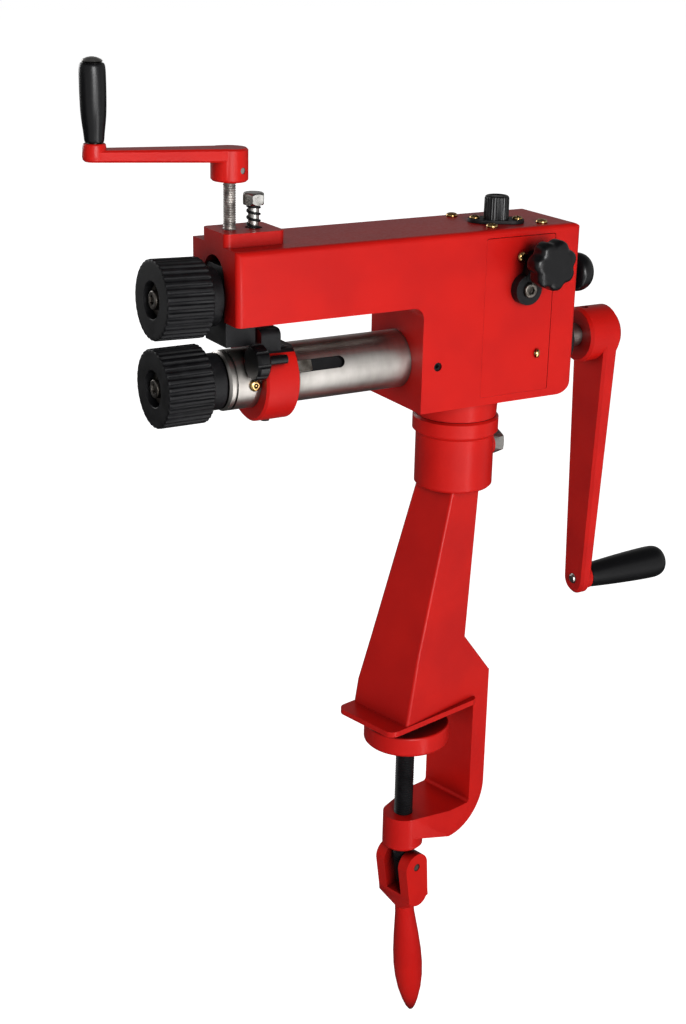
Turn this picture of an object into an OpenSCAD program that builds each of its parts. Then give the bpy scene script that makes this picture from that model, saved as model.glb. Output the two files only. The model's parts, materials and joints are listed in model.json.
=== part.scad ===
// Hand cranked bead roller on a bench clamp.
// Frame: X runs along the two roll shafts, from the rolls (minus) to the drive
// crank (plus). Z is up. The origin lies on the underside of the bench flange,
// on the axis of the socket that the head turns in.

/* [Stand] */
// Angle by which the stand is turned under the head
stand_turn = 12.75; // [0:0.25:40]
// Height of the socket's top face above the bench face
socket_z = 219; // [205:1:235]
// Height of the socket barrel, lip included
socket_h = 52; // [44:1:56]
// Diameter of the socket barrel
socket_d = 55.6; // [52:0.2:62]
// Diameter of the lip round the socket's mouth
lip_d = 60.8; // [58:0.2:68]
// Height of the lip
lip_h = 11; // [6:0.5:16]
// Diameter of the pivot stub that turns in the socket
stub_d = 38; // [30:0.5:42]
// Width of the column at its top, across the shafts
column_top_w = 37.4; // [30:0.2:42]
// Width of the column at its foot, across the shafts
column_foot_w = 56; // [50:0.2:60]
// Length of the bench flange
flange_l = 90; // [80:1:100]
// Width of the bench flange
flange_w = 57.4; // [56:0.2:66]
// Thickness of the bench flange
flange_t = 4; // [3:0.25:8]
// Distance from the socket axis back to the flange's rear edge
flange_back = 8; // [4:0.5:14]
// Width of the clamp frame
frame_w = 46; // [38:1:50]
// Thickness of the clamp frame's spine
spine_t = 15.5; // [12:0.5:20]
// Distance from the socket axis back to the outside of the spine
spine_back = 24; // [22:0.5:30]
// Depth of the clamp's mouth under the bench face
mouth_h = 86; // [80:1:100]
// Distance from the socket axis forward to the clamp screw
screw_fwd = 38.5; // [35:0.5:40]
// Diameter of the clamp boss
boss_d = 30.4; // [26:0.2:32]
// Height of the clamp boss
boss_h = 27; // [24:0.5:36]

/* [Clamp] */
// Diameter of the clamp screw
clamp_screw_d = 14; // [12:0.5:16]
// Diameter of the pad
pad_d = 62.4; // [56:0.2:70]
// Thickness of the pad
pad_t = 15.5; // [12:0.5:18]
// Gap between the bench face and the pad
pad_gap = 9.5; // [4:0.5:12]
// Distance of the fork's pin below the boss
fork_drop = 14.5; // [14:0.5:20]
// Outer width of the fork, along its pin
fork_w = 33; // [30:0.5:38]
// Width of each ear, across its pin
ear_w = 22; // [18:0.5:26]
// Length of the handle from the pin to its tip
handle_l = 144; // [120:1:156]
// Thickness of the handle where it is fullest
handle_d = 22.5; // [18:0.5:23]
// Diameter of the handle's neck
neck_d = 14.4; // [12:0.2:17]
// Lean of the hanging handle
handle_lean = 6.5; // [0:0.5:12]

/* [Head] */
// Width of the head casting
head_w = 66.6; // [62:0.2:74]
// Height of the head's top face above the bench face
head_top_z = 352.7; // [346:0.1:360]
// Height of the arm's lower face above the bench face
arm_under_z = 305.6; // [300:0.1:308]
// Height of the gearbox's lower face above the bench face
box_under_z = 232.5; // [228:0.1:234]
// Distance from the socket axis forward to the arm's front face
arm_front = 188; // [178:1:196]
// Distance from the socket axis forward to the gearbox's front face
box_front = 51; // [46:0.5:56]
// Distance from the socket axis back to the gearbox's rear face
box_rear = 75; // [72:0.5:82]
// Wall of the head casting
head_wall = 6; // [4.5:0.1:6.4]
// Radius of the cast edges
edge_r = 4; // [2:0.5:6]
// Height of the raised boss over the bearing block
top_boss_h = 8.5; // [6:0.5:12]
// Length of that boss along the arm
top_boss_l = 42; // [40:1:50]
// Width of that boss
top_boss_w = 34; // [28:1:42]
// Thickness of the side cover
cover_t = 5; // [3:0.25:5.5]
// Length of the side cover along the shafts
cover_l = 56; // [52:0.5:60]
// Gap all round the side cover
cover_gap = 0.4; // [0.2:0.1:0.8]

/* [Shafts and rolls] */
// Height of the lower shaft above the bench face
lower_axis_z = 264; // [262:0.5:268]
// Diameter of both shafts
shaft_d = 18; // [16:0.5:19]
// Diameter of the drive shaft's rear end
shaft_end_d = 16; // [12:0.5:16]
// Outer diameter of the rolls
roll_d = 51; // [48:0.5:51.4]
// Length of the rolls
roll_l = 32; // [26:0.5:36]
// Number of flutes round each roll
flutes = 32; // [20:1:40]
// Depth of the flutes
flute_depth = 1.5; // [0.8:0.1:2.2]
// Distance from the arm's front face to the rolls
roll_gap = 11; // [8:0.5:14]
// Diameter of the recess in each roll's front face
recess_d = 28.4; // [24:0.2:34]
// Depth of that recess
recess_h = 6; // [4:0.5:9]
// Outer diameter of the lower tube
tube_d = 39.5; // [36:0.5:41]
// Bore of the lower tube
tube_bore = 30; // [26:0.5:32]
// Tilt of the upper shaft with the rolls open
open_tilt = 1.85; // [1.5:0.05:2.2]
// Distance from the socket axis back to the upper shaft's pivot
pivot_x = 62; // [58:0.5:64]
// Height of the pivot above the lower shaft
pivot_rise = 47.5; // [47.4:0.1:49]

/* [Gears] */
// Tooth module of the two gears
gear_module = 2; // [1.95:0.01:2.03]
// Teeth on each gear
gear_teeth = 24; // [24:1:24]
// Face width of the gears
gear_w = 14; // [10:0.5:18]
// Backlash between the gears
backlash = 0.3; // [0.1:0.05:0.5]

/* [Press] */
// Diameter of the press screw
press_d = 8.5; // [7.5:0.5:12]
// Throw of the press crank
press_throw = 88.5; // [78:0.5:96]
// Height of the crank hub's lower face above the head
press_hub_lift = 38.5; // [32:0.5:44]
// Diameter of the press crank's hub
press_hub_d = 23.6; // [21:0.1:28]
// Height of the hub under the arm
press_hub_h = 12.3; // [10:0.1:20]
// Thickness of the press crank's arm
press_arm_t = 8.3; // [7:0.1:12]
// Length of the press crank's grip
press_grip_l = 45.5; // [36:0.5:50]
// Diameter of that grip where it is fullest
press_grip_d = 15.8; // [14:0.1:20]
// Diameter of the lift bolt
lift_d = 7; // [6:0.25:7.5]
// Outer diameter of the lift spring
spring_d = 10.1; // [9.9:0.1:10.8]
// Wire of the lift spring
spring_wire = 1.2; // [0.8:0.1:1.3]
// Curls of the lift spring
spring_curls = 5; // [4:1:6]

/* [Drive crank] */
// Throw of the drive crank
drive_throw = 193; // [170:1:200]
// Diameter of the crank's hub
hub_d = 40; // [36:0.5:44]
// Length of the crank's hub
hub_l = 29; // [24:0.5:34]
// Distance from the gearbox to the crank's hub
hub_off = 27; // [24:0.5:32]
// Width of the crank arm at the hub
drive_arm_w = 39; // [32:0.5:42]
// Width of the crank arm at its end
drive_end_w = 23.4; // [20:0.2:26]
// Thickness of the crank arm
drive_arm_t = 12; // [9:0.5:15]
// Length of the drive grip
drive_grip_l = 73; // [60:1:84]
// Diameter of the drive grip at its outer end
drive_grip_d = 25; // [21:0.5:28]

/* [Edge stop] */
// Distance from the socket axis forward to the stop's face
stop_fwd = 164.5; // [162:0.5:166]
// Length of the stop's ring along the tube
stop_l = 26; // [22:0.5:32]
// Outer diameter of the stop's ring
stop_d = 58; // [54:0.5:62]
// Thickness of the stop's upright
upright_t = 14; // [9:0.5:16]
// Width of the stop's upright
upright_w = 40; // [32:0.5:46]

/* [Knobs] */
// Diameter over the star knob's lobes
star_d = 34.5; // [28:0.5:36]
// Lobes on the star knob
star_lobes = 7; // [5:1:9]
// Thickness of the star knob
star_t = 13; // [10:0.5:16]
// Diameter of the rear knob
rear_knob_d = 27; // [22:0.5:32]
// Diameter of the oil cap
cap_d = 18.6; // [15:0.2:20]
// Height of the oil cap
cap_h = 15.5; // [12:0.5:22]

/* [Hidden] */

$fn = 48;
// Overrun of every cut past the face that it opens
over = 1;
// Radial clearance of parts that are fixed together
fit = 0.04;
// Radial clearance of parts that turn or slide in each other
run = 0.08;
// Clearance between faces of parts that move past each other
gap = 0.3;
// Radius of small rounded edges
small_r = 1.5;

// Colours as the photograph shows them
red = [0.78, 0.10, 0.10];
black = [0.10, 0.10, 0.11];
steel = [0.66, 0.66, 0.66];
brass = [0.80, 0.62, 0.30];
bronze = [0.66, 0.45, 0.22];

// Places along the shafts
arm_x = -arm_front;
box_x = -box_front;
roll_rear_x = arm_x - roll_gap;
roll_front_x = roll_rear_x - roll_l;
half_w = head_w / 2;
inner_half_w = half_w - head_wall;
shaft_r = shaft_d / 2;
roll_r = roll_d / 2;
hub_x = box_rear + hub_off;

// The upper shaft's pivot and the reach from it to the open roll's front face
pivot_z = lower_axis_z + pivot_rise;
function upper_u(x) = (x - pivot_x) / cos(open_tilt);
function upper_z(x) = pivot_z - (x - pivot_x) * tan(open_tilt);

// Plain shapes shared by many pieces

module rod_x(r, x0, x1) {
    translate([x0, 0, 0]) rotate([0, 90, 0]) cylinder(r = r, h = x1 - x0);
}

module rod_y(r, y0, y1) {
    translate([0, y1, 0]) rotate([90, 0, 0]) cylinder(r = r, h = y1 - y0);
}

// A turned part along X, from [x, radius] points on its outside
module turned_x(points) {
    first = points[0];
    last = points[len(points) - 1];
    outline = concat([[0, first[0]]], [for (p = points) [p[1], p[0]]], [[0, last[0]]]);
    rotate([0, 90, 0]) rotate_extrude() polygon(outline);
}

// A turned part along Z, from [z, radius] points on its outside
module turned_z(points) {
    first = points[0];
    last = points[len(points) - 1];
    rotate_extrude()
        polygon(concat([[0, first[0]]], [for (p = points) [p[1], p[0]]], [[0, last[0]]]));
}

// A rectangle with round corners, from two opposite corners
module round_rect(low, high, r) {
    w = high[0] - low[0];
    h = high[1] - low[1];
    translate([low[0] + r, low[1]]) square([w - 2 * r, h]);
    translate([low[0], low[1] + r]) square([w, h - 2 * r]);
    for (x = [low[0] + r, high[0] - r], y = [low[1] + r, high[1] - r])
        translate([x, y]) circle(r);
}

// A six sided head or recess about Z
module hexagon(across, h) {
    cylinder(d = across / cos(30), h = h, $fn = 6);
}

// A screw's head on Z with a cross slot or a straight slot cut in it
module slotted_head(d, h, slot_w) {
    edge = h / 4;
    difference() {
        turned_z([[0, d / 2], [h - edge, d / 2], [h, d / 2 - edge]]);
        translate([-d, -slot_w / 2, h / 2]) cube([2 * d, slot_w, h]);
    }
}

// A cap screw's head on Z with its hexagon socket
module socket_head(d, h) {
    edge = h / 8;
    difference() {
        turned_z([[0, d / 2], [h - edge, d / 2], [h, d / 2 - edge]]);
        translate([0, 0, h / 2]) hexagon(d / 2, h);
    }
}

// Turns a shape modelled along Z to point along minus X, plus X or minus Y
module face_front(x) { translate([x, 0, 0]) rotate([0, -90, 0]) children(); }
module face_rear(x) { translate([x, 0, 0]) rotate([0, 90, 0]) children(); }
module face_side(y) { translate([0, y, 0]) rotate([90, 0, 0]) children(); }

// Places what follows on the lower shaft, on the upper shaft or in the stand
module on_lower() { translate([0, 0, lower_axis_z]) children(); }
module on_upper() { translate([pivot_x, 0, pivot_z]) rotate([0, open_tilt, 0]) children(); }
module in_stand() { rotate([0, 0, stand_turn]) children(); }

// The stand: one casting with socket, column, bench flange and clamp frame

socket_bore_r = stub_d / 2 + run;
socket_floor = 5;
socket_base_z = socket_z - socket_h;
lip_step = (lip_d - socket_d) / 2;
socket_chamfer = 1.5;
bolt_drop = 18;
bolt_z = socket_z - lip_h - bolt_drop;
bolt_r = 5;
bolt_pad_r = 10;
bolt_pad_h = 5;
bolt_pad_x = socket_d / 2 + bolt_pad_h;
// The column's sections from the socket down: height, front and rear
waist_z = 53;
flare_z = 21;
column_top_front = 19;
column_top_rear = 12.5;
waist_front = 54;
waist_rear = -1;
flare_front = 63;
foot_front = 67;
flange_corner_r = 7;
waist_half_w = column_top_w / 2 + (column_foot_w - column_top_w) / 2
    * (socket_base_z - waist_z) / (socket_base_z - flange_t);
spine_x = spine_back - spine_t;
frame_corner_r = 36;
frame_fillet_r = 2.5;
jaw_t = 22;
jaw_end_t = 16;
jaw_z = -mouth_h;
boss_top_z = -mouth_h;
boss_under_z = boss_top_z - boss_h;
boss_bore_r = clamp_screw_d / 2 + run;
boss_chamfer = 2;
slab = 0.5;

// One level of the column, which is as narrow at its rear as the clamp frame
module column_level(z, front, rear, half) {
    rear_half = half * frame_w / column_foot_w;
    translate([0, 0, z]) linear_extrude(slab)
        offset(r = edge_r / 2, $fn = 16) offset(delta = -edge_r / 2)
            polygon([[-front, -half], [rear, -rear_half], [rear, rear_half], [-front, half]]);
}

module column_body() {
    hull() {
        column_level(socket_base_z, column_top_front, column_top_rear, column_top_w / 2);
        column_level(waist_z, waist_front, waist_rear, waist_half_w);
    }
    hull() {
        column_level(waist_z, waist_front, waist_rear, waist_half_w);
        column_level(flare_z, flare_front, spine_back, column_foot_w / 2);
    }
    hull() {
        column_level(flare_z, flare_front, spine_back, column_foot_w / 2);
        column_level(0, foot_front, spine_back, column_foot_w / 2);
    }
}

// Side view of the clamp frame's spine and lower corner
module frame_outline() {
    corner_x = spine_back - frame_corner_r;
    corner_z = jaw_z - jaw_t + frame_corner_r;
    difference() {
        translate([corner_x, jaw_z - jaw_t]) square([frame_corner_r, flare_z - jaw_z + jaw_t]);
        difference() {
            translate([corner_x, jaw_z - jaw_t - over])
                square(frame_corner_r + over);
            translate([corner_x, corner_z]) circle(frame_corner_r, $fn = 96);
        }
        difference() {
            translate([corner_x - over, jaw_z])
                square([spine_x - corner_x + over, flare_z - jaw_z + over]);
            translate([spine_x - frame_fillet_r, jaw_z]) difference() {
                square(frame_fillet_r);
                translate([0, frame_fillet_r]) circle(frame_fillet_r);
            }
        }
    }
}

module jaw() {
    corner_x = spine_back - frame_corner_r;
    hull() {
        translate([corner_x, -frame_w / 2, jaw_z - jaw_t]) cube([slab, frame_w, jaw_t]);
        translate([-screw_fwd, 0, jaw_z - jaw_end_t]) cylinder(d = boss_d, h = jaw_end_t);
    }
}

module stand_casting() {
    color(red) in_stand() difference() {
        union() {
            turned_z([[socket_base_z, socket_d / 2 - socket_chamfer],
                [socket_base_z + socket_chamfer, socket_d / 2],
                [socket_z - lip_h - lip_step, socket_d / 2],
                [socket_z - lip_h, lip_d / 2],
                [socket_z - socket_chamfer, lip_d / 2],
                [socket_z, lip_d / 2 - socket_chamfer]], $fn = 96);
            column_body();
            translate([0, 0, bolt_z]) rod_x(bolt_pad_r, 0, bolt_pad_x);
            linear_extrude(flange_t)
                round_rect([flange_back - flange_l, -flange_w / 2],
                    [flange_back, flange_w / 2], flange_corner_r);
            translate([0, frame_w / 2, 0]) rotate([90, 0, 0])
                linear_extrude(frame_w) frame_outline();
            jaw();
            translate([-screw_fwd, 0, 0]) turned_z([[boss_under_z, boss_d / 2 - boss_chamfer],
                [boss_under_z + boss_chamfer, boss_d / 2], [boss_top_z, boss_d / 2]]);
        }
        translate([0, 0, socket_base_z + socket_floor])
            cylinder(r = socket_bore_r, h = socket_h);
        translate([0, 0, bolt_z]) rod_x(bolt_r + fit, 0, bolt_pad_x + over);
        translate([-screw_fwd, 0, boss_under_z - over])
            cylinder(r = boss_bore_r, h = boss_h + 2 * over);
    }
}

bolt_head_h = 10.5;
bolt_head_w = 17.5;
bolt_seat = 0.5;

module socket_bolt() {
    color(steel) in_stand() translate([0, 0, bolt_z]) {
        rod_x(bolt_r, stub_d / 2 + gap, bolt_pad_x + slab);
        face_rear(bolt_pad_x) intersection() {
            hexagon(bolt_head_w, bolt_head_h);
            turned_z([[0, bolt_head_w / 2], [bolt_head_h - bolt_seat, bolt_head_w / 2 / cos(30)],
                [bolt_head_h, bolt_head_w / 2]]);
        }
    }
}

// The clamp's pad, screw and fork handle

pad_top_z = -pad_gap;
pad_under_z = pad_top_z - pad_t;
pad_edge = 2;
ball_r = 5.6;
ball_sink = 1.5;
ball_z = pad_under_z + ball_r + ball_sink;
pad_socket_r = ball_r + run;
pin_z = boss_under_z - fork_drop;
pin_r = 3;
ear_r = ear_w / 2;
fork_play = 0.5;
ear_t = (fork_w - clamp_screw_d) / 2 - fork_play;
screw_end_drop = 18;
crotch_drop = 24;
ear_foot_drop = 30;
neck_drop = 41;
full_drop = handle_l * 0.68;

module at_clamp() { in_stand() translate([-screw_fwd, 0, 0]) children(); }

module clamp_pad() {
    color(red) at_clamp() difference() {
        turned_z([[pad_under_z, pad_d / 2 - pad_edge], [pad_under_z + pad_edge, pad_d / 2],
            [pad_top_z - pad_edge / 2, pad_d / 2], [pad_top_z, pad_d / 2 - pad_edge / 2]],
            $fn = 96);
        translate([0, 0, ball_z]) sphere(r = pad_socket_r);
        translate([0, 0, pad_under_z - over])
            cylinder(r = pad_socket_r, h = ball_z - pad_under_z + over);
    }
}

module clamp_screw() {
    flat = clamp_screw_d * 0.72;
    color(black) at_clamp() difference() {
        union() {
            translate([0, 0, ball_z]) sphere(r = ball_r);
            translate([0, 0, pad_under_z - gap]) cylinder(r = ball_r * 0.7, h = ball_r);
            turned_z([[pin_z - screw_end_drop, clamp_screw_d / 2 - small_r],
                [pin_z - screw_end_drop + small_r, clamp_screw_d / 2],
                [pad_under_z - gap - small_r, clamp_screw_d / 2],
                [pad_under_z - gap, clamp_screw_d / 2 - small_r]]);
        }
        translate([0, 0, pin_z]) rod_y(pin_r + run, -clamp_screw_d, clamp_screw_d);
    }
}

module at_pin() {
    at_clamp() translate([0, 0, pin_z]) rotate([0, -handle_lean, 0]) children();
}

// Half section of the grip from the neck to the tip: drop below the pin, radius
swell_l = full_drop - neck_drop;
tip_l = handle_l - full_drop;
grip_points = [[neck_drop, neck_d / 2], [neck_drop + swell_l * 0.14, neck_d / 2 * 1.04],
    [neck_drop + swell_l * 0.5, handle_d / 2 * 0.86],
    [neck_drop + swell_l * 0.77, handle_d / 2 * 0.97], [full_drop, handle_d / 2],
    [full_drop + tip_l * 0.25, handle_d / 2 * 0.95],
    [full_drop + tip_l * 0.5, handle_d / 2 * 0.81],
    [full_drop + tip_l * 0.75, handle_d / 2 * 0.56],
    [full_drop + tip_l * 0.9, handle_d / 2 * 0.35],
    [full_drop + tip_l * 0.975, handle_d / 2 * 0.18], [handle_l, handle_d / 2 * 0.05]];

module ear() {
    hull() {
        rod_y(ear_r, 0, ear_t);
        translate([0, 0, -ear_foot_drop + ear_r / 2]) rod_y(ear_r * 0.9, 0, ear_t);
    }
}

module fork_handle() {
    slot_half = clamp_screw_d / 2 + fork_play;
    color(red) at_pin() difference() {
        union() {
            for (side = [0, 1]) mirror([0, side, 0])
                translate([0, slot_half, 0]) ear();
            hull() {
                translate([-ear_r * 0.9, -fork_w / 2, -ear_foot_drop])
                    cube([ear_r * 1.8, fork_w, ear_foot_drop - crotch_drop]);
                translate([0, 0, -neck_drop]) cylinder(d = neck_d, h = slab);
            }
            turned_z([for (i = [len(grip_points) - 1:-1:0])
                [-grip_points[i][0], grip_points[i][1]]]);
        }
        rod_y(pin_r + fit, -fork_w, fork_w);
        translate([-ear_w, -slot_half, -crotch_drop]) cube([2 * ear_w, 2 * slot_half, crotch_drop
            + ear_w]);
    }
}

module fork_pin() {
    color(steel) at_pin() rod_y(pin_r, -fork_w / 2 + slab, fork_w / 2 - slab);
}

// The head: one casting with arm, gearbox and pivot stub

// The screw, the bolt and the block that they move
press_back = 11.2;
lift_back = 28;
press_x = arm_x + press_back;
lift_x = arm_x + lift_back;
block_half_w = 14.85;
slot_half_w = block_half_w + 2 * run;
slot_arch_z = 331;
front_wall = 40;
arm_side_t = 9;
arm_top_t = 9.7;
channel_half_w = half_w - arm_side_t;
channel_top_z = head_top_z - arm_top_t;
// The arm's hollow runs this much past the gearbox's front wall
channel_run = 1;
box_front_t = 7;
box_rear_t = 8;
box_floor_t = 4.5;
box_top_t = 8.7;
cavity_front_x = box_x + box_front_t;
cavity_rear_x = box_rear - box_rear_t;
cavity_low_z = box_under_z + box_floor_t;
cavity_top_z = head_top_z - box_top_t;
neck_step = 1;
neck_r = lip_d / 2 - neck_step;
neck_z = socket_z + gap;
arm_fillet_r = 8;
box_corner_r = 13;
top_corner_r = 6;
tube_seat_l = 24;
tube_seat_x = box_x + tube_seat_l;
boss_sink = 2;
tube_boss_r = inner_half_w + boss_sink;
rear_boss_r = 21;
rear_boss_l = 13;
rear_boss_x = cavity_rear_x - rear_boss_l;
pivot_ball_r = 14;
trunnion_r = 3;
trunnion_half_l = 19;
pivot_bore_r = pivot_ball_r + run;
rear_bush_r = 13;
cover_x = -3;
cover_low_z = 238;
cover_top_z = 347;
ledge = 6;
set_screw_r = 3;
set_screw_back = 12.5;
set_screw_x = box_x + set_screw_back;
spring_seat = 2.5;
spring_play = 0.5;
shaft_relief = 3;
lift_hole_r = lift_d / 2 + run;

// Side view of the casting
module head_outline() {
    difference() {
        union() {
            difference() {
                translate([arm_x, arm_under_z])
                    square([arm_front + box_rear - top_corner_r, head_top_z - arm_under_z]);
            }
            translate([box_x, box_under_z + box_corner_r])
                square([box_front + box_rear, head_top_z - box_under_z - box_corner_r
                    - top_corner_r]);
            translate([box_x, box_under_z])
                square([box_front + box_rear - box_corner_r, box_corner_r]);
            translate([box_rear - box_corner_r, box_under_z + box_corner_r])
                circle(box_corner_r);
            translate([box_rear - top_corner_r, head_top_z - top_corner_r])
                circle(top_corner_r);
            translate([box_x - arm_fillet_r, arm_under_z - arm_fillet_r])
                square(arm_fillet_r + over);
        }
        translate([box_x - arm_fillet_r, arm_under_z - arm_fillet_r]) circle(arm_fillet_r);
    }
}

module head_outer() {
    intersection() {
        translate([0, half_w, 0]) rotate([90, 0, 0]) linear_extrude(head_w) head_outline();
        translate([0, 0, box_under_z]) linear_extrude(head_top_z - box_under_z)
            round_rect([arm_x, -half_w], [box_rear, half_w], edge_r);
        translate([arm_x, 0, 0]) rotate([90, 0, 90]) linear_extrude(arm_front + box_rear)
            round_rect([-half_w, box_under_z - edge_r], [half_w, head_top_z], edge_r);
    }
    translate([arm_x, 0, head_top_z - over]) linear_extrude(top_boss_h + over)
        round_rect([0, -top_boss_w / 2], [top_boss_l, top_boss_w / 2], edge_r);
}

// The arched slot that the bearing block slides in
module block_slot() {
    translate([arm_x - over, 0, 0]) rotate([90, 0, 90]) linear_extrude(front_wall + 2 * over) {
        translate([0, slot_arch_z]) circle(slot_half_w, $fn = 96);
        translate([-slot_half_w, arm_under_z - over])
            square([2 * slot_half_w, slot_arch_z - arm_under_z + over]);
    }
}

module head_cavity() {
    translate([arm_x + front_wall, -channel_half_w, arm_under_z - over])
        cube([box_x - arm_x - front_wall + box_front_t + channel_run, 2 * channel_half_w,
            channel_top_z - arm_under_z + over]);
    translate([box_x - arm_fillet_r - over, -shaft_r - shaft_relief, arm_under_z - shaft_relief])
        cube([2 * arm_fillet_r + box_front_t, 2 * (shaft_r + shaft_relief), shaft_relief + over]);
    translate([cavity_front_x, -inner_half_w, cavity_low_z])
        cube([cavity_rear_x - cavity_front_x, 2 * inner_half_w, cavity_top_z - cavity_low_z]);
}

// The cover sits against its recess at the front and below, with a gap above and behind
module cover_outline(seat, grow) {
    round_rect([cover_x - seat, cover_low_z - seat],
        [cover_x + cover_l + grow, cover_top_z + grow], small_r);
}

module head_casting() {
    color(red) difference() {
        union() {
            difference() {
                head_outer();
                difference() {
                    head_cavity();
                    on_lower() rod_x(tube_boss_r, box_x, tube_seat_x);
                    translate([0, 0, pivot_z]) rod_x(rear_boss_r, rear_boss_x, box_rear);
                    on_lower() rod_x(rear_boss_r, rear_boss_x, box_rear);
                }
            }
            translate([0, 0, neck_z]) cylinder(r1 = neck_r - small_r / 2, r2 = neck_r,
                h = box_under_z - neck_z + slab, $fn = 96);
            translate([0, 0, socket_base_z + socket_floor + gap])
                cylinder(d = stub_d, h = neck_z - socket_base_z - socket_floor);
        }
        block_slot();
        translate([press_x, 0, slot_arch_z])
            cylinder(r = press_d / 2 + run, h = head_top_z - slot_arch_z + top_boss_h + over);
        translate([lift_x, 0, slot_arch_z])
            cylinder(r = lift_hole_r, h = head_top_z - slot_arch_z + top_boss_h + over);
        translate([lift_x, 0, head_top_z + top_boss_h - spring_seat])
            cylinder(r = spring_d / 2 + spring_play, h = spring_seat + over);
        on_lower() rod_x(tube_d / 2 + fit, box_x - over, tube_seat_x + over, $fn = 96);
        on_lower() rod_x(rear_bush_r + fit, rear_boss_x - over, box_rear + over);
        translate([0, 0, pivot_z]) rod_x(pivot_bore_r, rear_boss_x - over, box_rear + over);
        translate([pivot_x, 0, pivot_z]) rod_y(trunnion_r + run, -rear_boss_r - over,
            rear_boss_r + over);
        translate([set_screw_x, 0, lower_axis_z]) rod_y(set_screw_r + fit, -half_w - over, 0);
        translate([0, -half_w + cover_t, 0]) rotate([90, 0, 0])
            linear_extrude(cover_t + over) cover_outline(run, cover_gap);
        translate([0, 0, 0]) rotate([90, 0, 0]) linear_extrude(half_w + over)
            round_rect([cover_x + ledge, cover_low_z + ledge],
                [cover_x + cover_l - ledge, cover_top_z - ledge], small_r);
        for (p = oil_cup_places) translate([p[0], p[1], head_top_z - cup_h])
            cylinder(r = cup_r + fit, h = cup_h + over);
        at_cap() {
            translate([0, 0, -2 * head_wall])
                cylinder(r = cap_neck_r + run, h = 2 * head_wall + over);
            for (side = [-1, 1]) translate([side * cap_pitch, 0, -plate_screw_l])
                cylinder(r = plate_screw_r + fit, h = plate_screw_l + over);
        }
        for (p = cover_screw_places) translate([p[0], 0, p[1]])
            rod_y(cover_screw_r + fit, -half_w - over, -half_w + cover_screw_l + gap);
    }
}

// Screws of the side cover: place along the shafts and height
cover_screw_places = [[25, 333.5], [42.3, 264.7]];
cover_screw_r = 1.6;
cover_screw_l = 9;
cover_head_d = 7;
cover_head_h = 2.6;

module side_cover() {
    color(red) difference() {
        translate([0, -half_w + cover_t, 0]) rotate([90, 0, 0])
            linear_extrude(cover_t) cover_outline(0, 0);
        for (p = cover_screw_places) translate([p[0], 0, p[1]])
            rod_y(cover_screw_r + fit, -half_w - over, 0);
        translate([stud_x, 0, stud_z]) rod_y(stud_r + run, -half_w - over, 0);
        translate([lug_x, 0, lug_z]) rod_y(lug_screw_r + fit, -half_w - over, 0);
    }
}

module cover_screws() {
    color(brass) for (p = cover_screw_places) translate([p[0], 0, p[1]]) {
        rod_y(cover_screw_r, -half_w, -half_w + cover_screw_l);
        face_side(-half_w) slotted_head(cover_head_d, cover_head_h, cover_head_h / 3);
    }
}

// The lower tube with its keyway, oil hole and end bush

tube_gap_l = 13;
tube_front_x = roll_rear_x + tube_gap_l;
keyway_w = 8;
keyway_h = 4;
stop_key_l = 21;
keyway_front_x = -stop_fwd + stop_l - stop_key_l / 2 - gap;
keyway_rear_x = -102;
key_angle = -24;
cup_tube_off = 4.5;
cup_tube_x = -stop_fwd - cup_tube_off;
groove_h = 1.2;
groove_off = 4;
groove_x = tube_front_x + groove_off;
groove_l = 1.6;

module at_key() { rotate([key_angle, 0, 0]) children(); }

module lower_tube() {
    color(steel) on_lower() difference() {
        turned_x([[tube_front_x, tube_d / 2 - small_r], [tube_front_x + small_r, tube_d / 2],
            [groove_x, tube_d / 2], [groove_x, tube_d / 2 - groove_h],
            [groove_x + groove_l, tube_d / 2 - groove_h], [groove_x + groove_l, tube_d / 2],
            [tube_seat_x, tube_d / 2]], $fn = 96);
        rod_x(tube_bore / 2, tube_front_x - over, tube_seat_x + over);
        at_key() translate([0, -tube_d / 2, 0]) {
            translate([keyway_front_x, 0, -keyway_w / 2])
                translate([0, -over, 0]) cube([keyway_rear_x - keyway_front_x - keyway_w / 2,
                    keyway_h + over, keyway_w]);
            translate([keyway_rear_x - keyway_w / 2, 0, 0]) rod_y(keyway_w / 2, -over, keyway_h);
        }
        translate([cup_tube_x, 0, 0]) rod_y(cup_r + fit, -tube_d, -tube_bore / 2 + over);
    }
}

module tube_set_screw() {
    color(black) translate([set_screw_x, 0, lower_axis_z]) difference() {
        rod_y(set_screw_r, -half_w + small_r, -tube_d / 2 - fit);
        face_side(-half_w + small_r + set_screw_r) hexagon(set_screw_r, set_screw_r + over);
    }
}

bush_l = 26;

module front_bush() {
    color(bronze) on_lower() difference() {
        rod_x(tube_bore / 2 - fit, tube_front_x, tube_front_x + bush_l);
        rod_x(shaft_r + run, tube_front_x - over, tube_front_x + bush_l + over);
        translate([cup_tube_x, 0, 0]) rod_y(cup_r + fit, -tube_bore, 0);
    }
}

module rear_bush() {
    color(bronze) on_lower() difference() {
        rod_x(rear_bush_r, rear_boss_x, box_rear);
        rod_x(shaft_r + run, rear_boss_x - over, box_rear + over);
    }
}

bearing_cap_t = 12;
bearing_cap_r = hub_d / 2;

module rear_bearing_cap() {
    color(black) on_lower() difference() {
        turned_x([[box_rear, bearing_cap_r], [box_rear + bearing_cap_t - small_r, bearing_cap_r],
            [box_rear + bearing_cap_t, bearing_cap_r - small_r]]);
        rod_x(shaft_r + run, box_rear - over, box_rear + bearing_cap_t + over);
    }
}

// Brass oil cups in the head's top and in the tube

cup_r = 3;
cup_h = 5;
cup_head_r = 4;
cup_head_h = 2.4;
oil_cup_places = [[8, -22], [49, -22], [6, 24]];

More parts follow.
